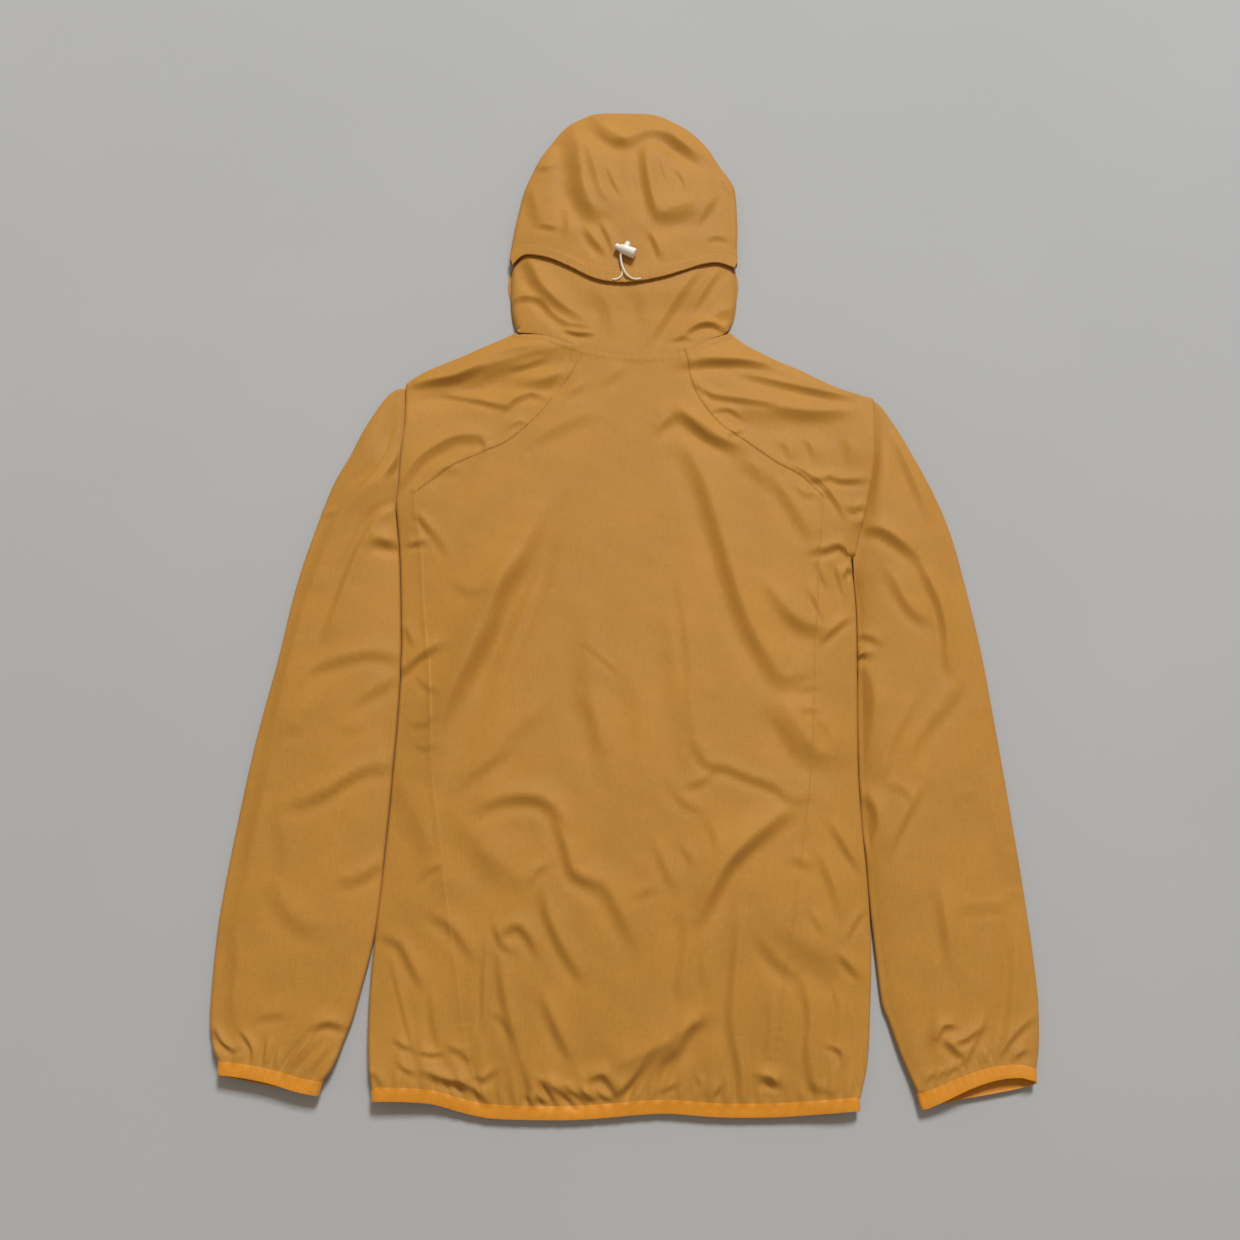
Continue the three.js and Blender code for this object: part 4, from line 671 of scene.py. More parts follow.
# %% Folding a panel over its outer edge
def folded(plan, top, outwards, u, v, under, floor, share, reach):
    """u runs over the top, round the fold, which stands out by reach, and back underneath."""
    top_share, round_share = share
    u, v = np.broadcast_arrays(u, v)
    xy = plan(np.minimum(u / top_share, 1), v)
    grid = np.concatenate([xy, top(xy[..., 0], xy[..., 1])[..., None]], -1)
    edge = plan(np.ones_like(v), v)
    out = outwards(v)
    low = floor(v, edge[..., 0], edge[..., 1])
    high = top(edge[..., 0], edge[..., 1])
    half = np.maximum(high - low, 3.6) / 2
    turn = np.pi * np.clip((u - top_share) / round_share, 0, 1)
    side = (reach(v) * np.sin(turn) ** 0.7)[..., None] * out
    around = np.concatenate([edge + side, (high - half + half * np.cos(turn))[..., None]], -1)
    back_by = under(v) * np.clip((u - top_share - round_share) / (1 - top_share - round_share), 0, 1)
    strip = edge - out * back_by[..., None]
    lifted = high - 2 * half + floor(v, strip[..., 0], strip[..., 1]) - low
    below = np.concatenate([strip, lifted[..., None]], -1)
    grid = np.where((u > top_share)[..., None], around, grid)
    return np.where((u > top_share + round_share)[..., None], below, grid)


def over_and_under(share, width, top, rounds, under):
    """Positions from the seam over the top, round the fold and back underneath."""
    fold = samples((share[0], 1), (share[0] + share[1], rounds), (1.0, under))[2:]
    return np.concatenate([from_seam(share[0], top, width), fold])[None, :]


# %% Side bodies
def side_panel(side):
    sign = -1 if side == "left" else 1
    seam = princess_seam[side]
    edge_x = left_edge if side == "left" else right_edge
    inner = shifted(seam, -sign * GAP / 2)
    top = shifted(armpit[side], sign * GAP / 2)
    corner, seam_top, seam_foot = top(0.0), seam(1.0)[1], seam(0.0)[1]

    def outer(t):
        t = np.asarray(t, float)
        seam_y = seam(t)[..., 1]
        foot = cloth_end(edge_x(BODY_LOW + 8)) - seam_foot
        level = seam_y + foot * (1 - step(BODY_LOW, BODY_LOW + 90, seam_y))
        lag = (seam_top - corner[1]) * between(-120, seam_top, seam_y) ** 2
        fold_x = edge_x(level - lag) - sign * FOLD
        return np.stack([mix(fold_x, corner[0], step(0.97, 1, t)), level - lag], -1)

    def north(t):
        return top(1 - np.asarray(t, float))

    def outwards(v):
        return np.stack([np.full(v.shape, float(sign)), np.zeros(v.shape)], -1)

    def under(v):
        return np.full(v.shape, STRIP - FOLD)

    def floor(v, x, y):
        return floor_lift(x, y)

    def reach(v):
        return np.full(v.shape, FOLD)

    plan = patch(inner, outer, hem_line(inner(0.0)[0], outer(0.0)[0]), north)
    share = (0.5, 0.3)
    u = over_and_under(share, 110, 34, 14, 6)
    v = samples((0.12, 40), (1.0, 170))[:, None]
    return folded(plan, body_top, outwards, u, v, under, floor, share, reach)


sides = {s: cloth(f"side_{s}", f"side_panel_{s}", side_panel(s), flip=s == "left")
         for s in ("left", "right")}

# %% [markdown]
# A raglan top lies over the sleeve's upper end and folds over the shoulder line. A short tail
# runs on past the armpit and sinks, which closes the notch between body, top and sleeve.

# %% Raglan tops
def raglan_top(side):
    left = side == "left"
    sign = -1 if left else 1
    pit = shifted(armpit[side], -sign * GAP / 2)
    seam = shifted(raglan[side], -sign * GAP / 2)
    start, radius = CAP_START[side], 4.0
    inner = joined(0.15, stretch(pit, start, 1), seam)
    edge = joined(0.5, stretch(arm_fold[side], 1, 0), stretch(shoulder_fold[side], 1, 0))

    def outwards(v):
        turn = step(0.4, 0.6, v)
        aim = np.stack([mix(float(sign), -0.46 if left else 0.42, turn), mix(0.05, 0.88, turn)], -1)
        way = -sign * left_of(edge, mix(0.01, 0.99, v)) + 2 * aim
        return way / np.linalg.norm(way, axis=-1, keepdims=True)

    def outer(v):
        v = np.asarray(v, float)
        return edge(v) - outwards(v) * radius

    def ending(curve, end):
        last = curve(1.0)
        return lambda t: curve(t) + (end - last) * np.asarray(t, float)[..., None] ** 3

    neck = shifted(stretch(neck_seam, NECK_CORNER[side], 0 if left else 1), sign * GAP / 2)
    south, north = ending(stretch(pit, start, 0), outer(0.0)), ending(neck, outer(1.0))

    def under(v):
        return mix(STRIP - radius, 5, 1 - step(0.6, 0.8, v))

    def floor(v, x, y):
        return TUCK * (1 - step(0.56, 0.76, v))

    def reach(v):
        return np.full(v.shape, radius)

    share = (0.6, 0.25)
    u = over_and_under(share, 210, 74, 12, 4)
    v = np.concatenate([samples((0.15, 14), (0.97, 100))[:-1], 1 - from_seam(0.03, 2, 240)[::-1]])[:, None]
    grid = folded(patch(inner, outer, south, north), body_top, outwards, u, v, under, floor, share, reach)
    past_end = np.array([7.0, 5.5, 4.2, 3.0, 2.0, 1.0])[:, None, None]
    tail = grid[:1] - past_end * [0, 1, 0] - np.square(past_end) / 7 * [0, 0, 1]
    return np.concatenate([tail, grid])


caps = {s: cloth(f"raglan_top_{s}", f"sleeve_{s}_cap", raglan_top(s), flip=s == "left")
        for s in ("left", "right")}

# %% [markdown]
# ## Sleeves
# A sleeve is a flattened tube. Rings of points follow a table of sections from under the raglan
# top down to the cuff: over the top, round the outer fold, along the floor and back.

# %% Sleeve sections
ARMS = {
    # outer x, outer y, inner y, away from the body's side, height, lift
    "left": np.array([
        [-190, 165, 92, -18.5, 6.2, 0], [-206.5, 171.5, 79, -8, 6.4, 0], [-223, 164.5, 65, -2.6, 7.6, 0],
        [-243, 131.5, 45, 0, 11.5, 0], [-256.5, 100.3, 27, 0, 12.5, 0], [-271, 70, 8, 0, 12.5, 0],
        [-286.4, 20, -27, 0, 12.5, 0], [-299, -32, -66, 0, 12.5, 0], [-309.6, -97, -120, 0, 12.5, 0],
        [-323.7, -172, -190, 0, 12.5, 0], [-334.4, -248.5, -262, 0, 12, 0], [-342.4, -324, -336, 0, 12, 0],
        [-343.7, -384, -395, 10, 11.5, 0], [-341.9, -410, -422, 19.5, 10.5, 1.2],
        [-337.4, -429, -441, 28.5, 9.5, 3], [-331.8, -440.5, -452.5, 38.5, 8.5, 4.6],
        [-331, -450.5, -462.5, 43.5, 8.5, 5.4]]),
    "right": np.array([
        [225, 152, 15, -0.5, 6.2, 0], [241, 158, 3, 0.8, 6.4, 0], [256.5, 136, -14, 0.4, 8.5, 0],
        [271, 106.5, -26, 0, 11.5, 0], [284, 78.5, -38, 0, 12.5, 0], [297, 46, -52, 0, 12.5, 0],
        [306, 14, -68, 0, 12.5, 0], [312.7, -21.7, -88, 0, 12.5, 0], [323, -88, -130, 0, 12.5, 0],
        [331.5, -171, -199, 0, 12.5, 0], [337.6, -240, -256, 0, 12, 0], [343.6, -313, -325, 1, 12, 0],
        [346.8, -376, -386, 8, 11.5, 0], [346.3, -399, -408, 16, 10.5, 0.6],
        [343.3, -421, -433, 27, 9.5, 2], [337.6, -438.5, -460.5, 44, 8.5, 3.6],
        [336.6, -447.5, -471.5, 50, 8.5, 4.4]]),
}
LAST = 16                                             # number of a table's last row
ARM_TOP, ARM_ROUND, ARM_BOTTOM = 0.52, 0.12, 0.24     # shares of a ring: top, one fold, floor
ROLLED = {"left": 0.0, "right": 2.4}                  # how far the edge beside the body rolls down
CUFF_SLIDE = {
    # round the ring: over the top from the inner fold, round the outer fold, back along the floor
    "left": column([0, 0.1, 0.25, 0.4, 0.52, 0.64, 0.76, 0.88, 1], [2, 1, -2, -3, -2.5, -1, 0.5, 1.5, 2]),
    "right": column([0, 0.1, 0.2, 0.3, 0.4, 0.48, 0.52, 0.58, 0.64, 0.72, 0.8, 0.88, 1],
                    [4, 1.5, -1.5, -3, -2.5, 0.5, 4, 7.5, 9, 7.5, 5, 3.5, 4]),
}

# %% Creases of the sleeves
ARM_CREASES = {
    "left": traced([
        (2.4, 1.5, 8.5, (-209, 156), (-219, 120), (-229, 91), (-245, 66), (-264, 41), (-276, 10),
         (-285, -21)),
        (1.5, 0.9, 9, (-285, -21), (-292, -51), (-299, -83), (-305, -115), (-309, -144), (-315, -175)),
        (1.9, 1.3, 5.5, (-209, 49), (-226, 38), (-237, 19), (-247, -5), (-254, -27), (-259, -45),
         (-269, -75)),
        (1.5, 1.2, 6, (-232, 11), (-219, 11), (-207, 8)),
        (1.6, 1.2, 4, (-220, 78), (-214, 88), (-208, 104)),
        (0.9, 0.7, 3, (-276, 39), (-270, 40), (-263, 42)),
        (1.7, 1.2, 6, (-282, -121), (-275, -110), (-253, -101), (-225, -95), (-202, -98)),
        (1.4, 1.0, 5.5, (-234, -138), (-217, -127), (-203, -118)),
        (0.8, 0.6, 4, (-296, -163), (-289, -163), (-281, -162)),
        (0.9, 0.7, 4, (-249, -161), (-239, -163), (-228, -161)),
        (0.7, 0.5, 12, (-302, -164), (-280, -150), (-256, -143)),
        (1.2, 0.9, 4, (-201, -141), (-203, -164), (-204, -186)),
        (2.2, 1.6, 6, (-289, -230), (-271, -226), (-255, -218), (-240, -208), (-226, -200), (-204, -196)),
        (2.2, 1.6, 4.5, (-241, -295), (-228, -293), (-216, -287), (-206, -278)),
        (1.3, 0.8, 8, (-312, -189), (-315, -219), (-320, -248), (-323, -277), (-327, -301), (-332, -320)),
        (1.1, 0.7, 8, (-330, -333), (-326, -361), (-326, -390), (-321, -415)),
        (1.3, 1.0, 9, (-296, -301), (-285, -321), (-270, -332), (-254, -336)),
        (0.6, 0.4, 7, (-300, -236), (-294, -260), (-291, -282)),
        (0.5, 0.4, 1.8, (-226, -345), (-233, -372), (-241, -390), (-245, -399)),
        (0.5, 0.4, 1.8, (-254, -411), (-262, -424), (-273, -439)),
        (1.7, 1.4, 4.5, (-255, -413), (-244, -409), (-231, -412)),
        (0.7, 0.5, 5, (-303, -406), (-292, -403), (-279, -402)),
        (0.8, 3.0, 9, (-207, 150), (-211, 119), (-219, 86), (-239, 69)),
        (1.2, 1.0, 7, (-226, 16), (-215, 11), (-206, 14)),
    ]),
    "right": traced([
        (1.6, 1.4, 7, (240, 147), (240, 111), (236, 79), (230, 47)),
        (1.7, 1.1, 7, (253, 120), (262, 95), (272, 66), (279, 38)),
        (2.3, 1.6, 7, (221, 25), (238, 21), (252, 11), (267, -2)),
        (2.1, 1.4, 6, (269, -5), (279, -30), (286, -51), (289, -75), (288, -98), (291, -111)),
        (1.4, 0.9, 6, (242, -18), (252, -42), (262, -57), (276, -66)),
        (1.0, 0.8, 4, (213, -75), (224, -79), (231, -83)),
        (2.3, 1.8, 3.5, (208, -93), (215, -94), (223, -94)),
        (1.9, 1.6, 8, (209, -101), (218, -118), (219, -144), (215, -167), (210, -189)),
        (1.5, 1.0, 6.5, (254, -186), (267, -164), (285, -144), (305, -121)),
        (1.1, 0.8, 6, (232, -189), (240, -172), (252, -153), (260, -134)),
        (2.3, 1.6, 5.5, (206, -216), (216, -229), (218, -244), (212, -264), (208, -285)),
        (1.7, 1.1, 5, (231, -267), (240, -250), (250, -232), (259, -218)),
        (0.9, 0.6, 3, (229, -212), (241, -215), (251, -225)),
        (0.8, 0.6, 5, (227, -205), (232, -197), (237, -189)),
        (0.9, 0.5, 9, (317, -205), (318, -231), (319, -252), (322, -269), (326, -292)),
        (1.1, 0.8, 2.5, (288, -317), (306, -317), (321, -313), (340, -307)),
        (0.6, 0.5, 2.5, (288, -317), (293, -313), (297, -308)),
        (0.5, 0.4, 2.5, (290, -223), (299, -221), (308, -219)),
        (0.5, 0.4, 2.5, (286, -343), (292, -341), (299, -339)),
        (1.7, 1.1, 6.5, (268, -300), (269, -322), (271, -342), (271, -363)),
        (1.1, 0.8, 8, (268, -371), (260, -390), (255, -413), (255, -434)),
        (1.7, 1.2, 6, (327, -337), (326, -361), (321, -390), (316, -413), (308, -437)),
        (1.0, 1.0, 8, (241, 124), (233, 74), (217, 26)),
    ]),
}

# %% Creases above the cuffs
CUFF_CREASES = {
    "left": traced([
        (1.6, 1.1, 3.0, (-338, -412), (-330, -424), (-320, -432)),
        (1.3, 0.9, 2.8, (-338, -424), (-334, -433), (-330, -440)),
        (1.4, 1.0, 2.8, (-314, -416), (-305, -429), (-304, -441)),
        (1.4, 1.0, 2.8, (-292, -421), (-293, -430), (-294, -442)),
        (1.6, 1.1, 3.0, (-262, -423), (-270, -434), (-277, -448)),
        (1.0, 0.7, 2.6, (-314, -433), (-318, -437), (-320, -442)),
        (1.2, 0.9, 3.2, (-246, -424), (-254, -435), (-265, -448)),
        (1.0, 0.7, 2.8, (-238, -430), (-245, -441), (-251, -452)),
        (0.9, 0.6, 2.8, (-283, -430), (-284, -437), (-285, -445)),
    ]),
    "right": traced([
        (1.8, 1.2, 4.2, (258, -423), (265, -412), (274, -412)),
        (1.8, 1.2, 4.2, (264, -422), (271, -429), (278, -436)),
        (1.7, 1.1, 4, (274, -425), (284, -422), (295, -413)),
        (1.4, 1.0, 4, (282, -443), (287, -431), (297, -415), (300, -403)),
        (1.2, 0.9, 3, (234, -449), (238, -454), (244, -459)),
        (1.3, 0.9, 3.5, (309, -438), (318, -425), (327, -415), (339, -405)),
        (1.0, 0.7, 2.6, (248, -453), (250, -449), (254, -445)),
        (1.0, 0.7, 2.6, (258, -451), (260, -447), (263, -444)),
        (1.1, 0.8, 2.6, (266, -449), (268, -446), (271, -442)),
        (1.0, 0.7, 2.8, (301, -440), (300, -437), (300, -431)),
        (1.1, 0.8, 3, (322, -437), (326, -433), (332, -428)),
        (0.9, 0.6, 2.6, (276, -446), (276, -443), (278, -440)),
    ]),
}
print(sum(len(rows) for table in (ARM_CREASES, CUFF_CREASES) for rows in table.values()),
      "creases on the sleeves")

# %% [markdown]
# Each point of a ring has a place s across the sleeve, from the body's side outwards, and a
# height z. Near the cuff the points also slide along the sleeve, so that its mouth isn't straight.

# %% Ring round a sleeve
def arm_ring(side, u, v, puff=0.0):
    """Points at share u round the tube and share v down it, puffed out for the elastic."""
    sign = -1 if side == "left" else 1
    edge_x = left_edge if side == "left" else right_edge
    k = np.broadcast_to(v * LAST, np.broadcast(u, v).shape)
    rows = np.arange(LAST + 1)
    outer_x, outer_y, inner_y, away, height, lift = (column(rows, c)(k) for c in ARMS[side].T)
    lift = np.maximum(lift, 0)
    inner = np.stack([edge_x(inner_y) + sign * (0.3 + away), inner_y], -1)
    run = np.stack([outer_x, outer_y], -1) - inner
    width = np.linalg.norm(run, axis=-1)
    run /= width[..., None]
    low_side = np.minimum(height, 7.5)
    free = step(1.2, 2.6, k)

    def top_at(s):
        spot = inner + run * s[..., None]
        middle = 1 - np.abs(2 * s / width - 1) ** 2.4
        x, y = spot[..., 0], spot[..., 1]
        cap_x = arm_fold_left_x(y) if side == "left" else arm_fold_right_x(y)
        beyond = sign * (x - cap_x)
        start = 50 if side == "left" else 5
        bulge = 3.0 * step(2, 20, beyond) * np.exp(-np.maximum(beyond, 0) / 34)
        bulge = bulge * step(start - 20, start + 20, y)
        rolled = ROLLED[side] * np.exp(-np.maximum(s - FOLD, 0) / 9) * step(1.6, 3.2, k)
        at_cuff = 1 - step(LAST - 1.02, LAST - 0.2, k)
        creases = relief(ARM_CREASES[side], x, y) * (1 - step(LAST - 1.6, LAST - 0.9, k))
        gathers = relief(CUFF_CREASES[side], x, y) * at_cuff
        from_band = np.exp(-np.abs(LAST - 1 - k) * 20 / 9)
        ripple = 0.22 * np.cos(2 * np.pi * s / 6.5 + 0.9 * np.sin(s / 9)) * from_band
        wave = mottled(x * 0.8 + 40, y * 0.9, 0.2)
        small = creases + gathers + wave + ripple * middle
        return lift + low_side + (height - low_side) * middle + bulge * middle + free * small - rolled

    turn_out = np.pi * np.clip((u - ARM_TOP) / ARM_ROUND, 0, 1)
    turn_in = np.pi * np.clip((u - 1 + ARM_ROUND) / ARM_ROUND, 0, 1)
    s_top = mix(FOLD, width - FOLD, np.clip(u / ARM_TOP, 0, 1))
    half_out = (top_at(width - FOLD) - lift) / 2
    half_in = (top_at(np.full(width.shape, FOLD)) - lift) / 2
    under = np.clip((u - ARM_TOP - ARM_ROUND) / ARM_BOTTOM, 0, 1)
    s = np.where(u <= ARM_TOP, s_top, width - FOLD + (FOLD + puff) * np.sin(turn_out) ** 0.8)
    z = np.where(u <= ARM_TOP, top_at(s_top) + puff, lift + half_out + (half_out + puff) * np.cos(turn_out))
    s = np.where(u > ARM_TOP + ARM_ROUND, mix(width - FOLD, FOLD, under), s)
    z = np.where(u > ARM_TOP + ARM_ROUND, lift - np.minimum(puff, lift), z)
    s = np.where(u > 1 - ARM_ROUND, FOLD - (FOLD + puff) * np.sin(turn_in) ** 0.6, s)
    z = np.where(u > 1 - ARM_ROUND, lift + half_in - (half_in + puff) * np.cos(turn_in), z)
    down = np.stack([sign * run[..., 1], -sign * run[..., 0]], -1)
    slid = CUFF_SLIDE[side](u) * step(LAST - 3.5, LAST - 1, k)
    spot = inner + run * s[..., None] + down * slid[..., None]
    return np.concatenate([spot, z[..., None]], -1)


def ring_samples(top, rounds, bottom):
    parts = (ARM_TOP, top), (ARM_TOP + ARM_ROUND, rounds), (1 - ARM_ROUND, bottom), (1.0, rounds)
    return samples(*parts)[:-1]


def sleeve(side):
    end = (LAST - 1.04) / LAST
    v = samples((end - 2.2 / LAST, 170), (end, 56))[:, None]
    return arm_ring(side, ring_samples(84, 9, 16)[None, :], v)


sleeves = {s: cloth(f"sleeve_{s}", f"sleeve_{s}_arm", sleeve(s), closed=True, flip=s == "right")
           for s in ("left", "right")}

# %% [markdown]
# ## Elastic binding
# Hem and cuffs are bound with a flat band of bright elastic, folded over the raw edge. Its face
# is a little crowned, and the cuffs' bands close into rings.


# %% Cuff bindings
def cuff_band(side):
    start = (LAST - 1.07) / LAST
    v = np.linspace(start, 1, 13)[:, None]
    puff = 0.35 * np.sin(np.pi * between(start, 1, v)) ** 0.6
    return arm_ring(side, ring_samples(96, 10, 24)[None, :], v, puff + 0.4)


cuffs = {s: cloth(f"cuff_band_{s}", f"cuff_binding_{s}", cuff_band(s), closed=True,
                  flip=s == "right", thick=BAND)
         for s in ("left", "right")}


# %% Hem binding
def hem_band():
    left_x, right_x = left_edge(-462.0) + FOLD, right_edge(-470.0) - FOLD
    shares = (0.2, 0.26, 0.74, 0.8)   # ends of: left front, left fold, back, right fold
    u = samples((shares[0], 30), (shares[1], 12), (shares[2], 300), (shares[3], 12), (1.0, 30))[None, :]
    drop = np.linspace(0, 1, 11)[:, None]
    u, drop = np.broadcast_arrays(u, drop)
    puff = 0.3 + 0.4 * np.sin(np.pi * drop) ** 0.6
    x = np.where(u < shares[0], mix(-ZIP_HALF, left_x, u / shares[0]), left_x)
    x = np.where(u > shares[1], mix(left_x, right_x, between(shares[1], shares[2], u)), x)
    x = np.where(u > shares[3], mix(right_x, ZIP_HALF, between(shares[3], 1, u)), x)
    line = hem_y(x) + (BINDING + 0.7) * (1 - drop)
    low, high = floor_lift(x, line), body_top(x, line)
    on_left = u < (shares[1] + shares[2]) / 2
    turn = np.pi * np.where(on_left, 1 - between(shares[0], shares[1], u), between(shares[2], shares[3], u))
    half = (high + puff - low) / 2
    out = np.where(on_left, -1, 1) * (FOLD + puff) * np.sin(turn)
    return np.stack([x + out, line, low + half + half * np.cos(turn)], -1)


hem_binding = cloth("hem_band", "hem_binding", hem_band(), flip=True, thick=BAND)

# %% [markdown]
# ## Hood
# The crown is laid over the lower back piece. Its lower edge is turned under to make the channel
# for the cord, so it is modelled as a real fold: the cloth runs down to the edge, round it and
# back up inside. The cord draws that edge into small gathers near the middle.

# %% Hood lines
crown_arch = through((-110.7, 307), (-108.3, 332), (-100.4, 378), (-90, 408), (-76.2, 436), (-59, 459),
                     (-38, 474), (-20, 478), (8, 478.6), (35.8, 476), (55, 466), (71.4, 454), (86, 437),
                     (98, 416), (108, 400), (113.7, 386), (115, 350), (113.9, 320), (113.6, 303))
crown_lower = through((-109.7, 301), (-100, 309.5), (-91.3, 311), (-72, 306), (-52.8, 296.4), (-27.3, 282.2),
                      (-4.9, 277.7), (15.5, 278.7), (39.9, 284.4), (58.5, 291), (78.2, 298.8), (95, 302),
                      (112.5, 297.7))
CROWN = np.array([
    # y, half width, middle, fill
    [270, 112, 1.6, 7.5], [310, 112.5, 1.6, 8.5], [350, 111, 3.5, 10.5], [390, 105.5, 6.5, 11],
    [420, 93.5, 5, 10.5], [450, 69, 3, 9], [470, 42, 1, 7], [485, 12, 0, 6],
])
crown_half, crown_middle, crown_fill = (column(CROWN[:, 0], CROWN[:, k]) for k in (1, 2, 3))

# %% Creases of the crown
CROWN_CREASES = traced([
    (1.8, 1.2, 8, (-29, 467), (-19, 451), (4, 430)),
    (2.0, 1.7, 9, (-32, 455), (-12, 436), (8, 436), (30, 448), (53, 438), (73, 415)),
    (3.2, 2.4, 12, (-54, 451), (-48, 415), (-44, 382), (-34, 355)),
    (0.9, 1.2, 11, (-47, 384), (-43, 366), (-30, 354), (-13, 356)),
    (0.6, 0.7, 9, (21, 388), (32, 353), (52, 348), (79, 356)),
    (1.0, 0.6, 3, (-16, 406), (-10, 389), (-3, 374)),
    (1.3, 0.8, 6, (-37, 431), (-31, 408), (-24, 379), (-16, 365)),
    (2.4, 1.6, 6.5, (20, 428), (22, 402), (26, 376), (31, 353)),
    (1.8, 1.4, 8.5, (42, 452), (54, 436), (67, 427), (82, 416)),
    (2.0, 1.4, 12, (33, 344), (51, 352), (76, 363)),
    (1.2, 0.8, 5, (73, 339), (84, 357), (93, 373)),
    (1.5, 1.0, 5, (-37, 336), (-29, 322), (-18, 308)),
    (1.4, 0.8, 3.5, (-21, 341), (-14, 325), (-10, 311)),
    (1.6, 1.0, 4, (27, 331), (32, 319), (36, 306)),
    (0.8, 0.6, 4, (-82, 342), (-74, 340), (-65, 337)),
    (0.9, 0.6, 5, (-85, 410), (-75, 408), (-67, 413)),
    (1.0, 0.7, 9, (-80, 441), (-67, 444), (-53, 458)),
    (1.0, 0.8, 8, (-96, 389), (-89, 363), (-85, 344)),
    (0.7, 0.5, 3, (37, 416), (40, 402), (44, 389)),
    (0.7, 0.5, 3, (54, 402), (60, 392), (62, 379)),
    (0.8, 0.5, 6, (98, 408), (101, 392), (107, 379)),
    (0.8, 0.6, 5, (-58, 363), (-55, 347), (-57, 331)),
    (0.7, 0.5, 4, (85, 326), (94, 329), (103, 327)),
])
CHANNEL = 13.0        # from the crown's lower edge to the seam of the channel


def crown_top(x, y):
    """Outer surface of the crown: a low dome with its creases."""
    out = np.clip(np.abs(x - crown_middle(y)) / crown_half(y), 0, 1)
    dome = (1 - out**2.6) * ramp_in(479 - y, 60)
    return 11 + crown_fill(y) * dome + relief(CROWN_CREASES, x, y) + mottled(x + 60, y * 1.1, 0.2)


def straight(start, end):
    return lambda t: mix(start, end, np.asarray(t, float)[..., None])


# %% Hood crown
def hood_crown():
    radius, hem = 5.5, 0.85   # of the fold at the arch, and of the one at the channel's edge

    def outwards(v):
        return left_of(crown_arch, mix(0.01, 0.99, v))

    def fold_reach(v):
        return mix(1.6, radius, step(0, 0.05, v) * step(1, 0.95, v))

    def outer(v):
        v = np.asarray(v, float)
        return crown_arch(v) - outwards(v) * fold_reach(v)[..., None]

    def lower(v):
        xy = crown_lower(v)
        xy[..., 0] *= mix(1, 0.985, np.abs(2 * v - 1) ** 8)
        return xy

    def under(v):
        return mix(2.5, 20, step(0.06, 0.14, v) * (1 - step(0.88, 0.95, v)))

    def floor(v, x, y):
        return 2.3 * (1 - step(0.08, 0.12, v) * (1 - step(0.89, 0.93, v)))

    ends = [straight(lower(np.array(t)), outer(np.array(t))) for t in (0.0, 1.0)]
    plan = patch(lower, outer, *ends)
    share = (0.7, 0.18)
    over = np.concatenate([samples((0.052, 10), (0.074, 12), (0.16, 12)), np.linspace(0.16, 1, 77)[1:]])
    rest = samples((1.0, 18))[1:] * (1 - share[0]) + share[0]
    u = np.concatenate([over * share[0], rest])[None, :]
    v = np.linspace(0, 1, 181)[:, None]
    grid = folded(plan, crown_top, outwards, u, v, under, floor, share, fold_reach)
    edge, inward = grid[:, :1], grid[:, 1:2] - grid[:, :1]
    inward = inward / np.linalg.norm(inward[..., :2], axis=-1, keepdims=True)
    inward[..., 2] = 0
    distance = np.linalg.norm(grid[..., :2] - edge[..., :2], axis=-1)
    on_top = u <= share[0]
    x = grid[..., 0]
    drawn = bell((x - 2) / 62)
    wave = np.cos(2 * np.pi * x / 7.2 + 1.1 * np.sin(x / 9.3)) * (0.75 + 0.4 * np.sin(x / 11 + 1))
    grid[..., 2] += np.where(on_top, 0.35 * drawn * wave * bell(distance / 8), 0)
    over_cord = 0.9 * step(CHANNEL + 1.4, CHANNEL - 0.6, distance) * bell((x - 1) / 110)
    grid[..., 2] += np.where(on_top, over_cord, 0)
    grid[..., 2] -= np.where(on_top, 0.7 * bell((distance - CHANNEL + 0.6) / 0.7), 0)
    turn = np.linspace(np.pi, 0, 7)[None, :-1, None]
    sink = edge[..., 2:] - hem
    round_xy = (edge + inward * hem * (1 - np.sin(turn)))[..., :2]
    rounding = np.concatenate([round_xy, sink + hem * np.cos(turn)], -1)
    back_in = np.linspace(CHANNEL, hem, 6)[None, :-1, None]
    inside_xy = (edge + inward * back_in)[..., :2]
    inside = np.concatenate([inside_xy, np.repeat(sink - hem, 5, axis=1)], -1)
    shift = inward * hem * step(8, 0, distance)[..., None]
    grid = grid + np.where(on_top[..., None], shift, 0)
    return np.concatenate([inside, rounding, grid], axis=1)


crown = cloth("hood_crown_cloth", "hood_crown", hood_crown(),
              flip=True, thick=0.9)

# %% Creases of the hood's lower back piece
NECK_CREASES = traced([
    (2.6, 1.8, 7.5, (-96, 313), (-85, 282), (-67, 259), (-41, 239)),
    (1.8, 1.2, 5, (-109, 259), (-97, 265), (-82, 262), (-68, 246), (-53, 235), (-33, 231)),
    (1.6, 1.4, 3.5, (-56, 228), (-44, 225), (-30, 224)),
    (1.6, 1.2, 7, (28, 215), (41, 238), (58, 265), (78, 296)),
    (1.2, 0.9, 5, (71, 252), (84, 275), (97, 297)),
    (2.0, 1.6, 4, (61, 224), (75, 234), (90, 235), (104, 226)),
    (1.2, 0.9, 7, (87, 242), (98, 247), (107, 253)),
    (1.0, 0.8, 4, (49, 217), (59, 220), (67, 219)),
    (0.8, 0.6, 9, (-24, 265), (-16, 247), (-14, 229)),
    (1.0, 0.7, 6, (-109, 284), (-105, 296), (-101, 307)),
    (0.6, 0.5, 8, (14, 271), (18, 253), (17, 235)),
])
edge_of_crown = crown_lower(np.linspace(0, 1, 120))
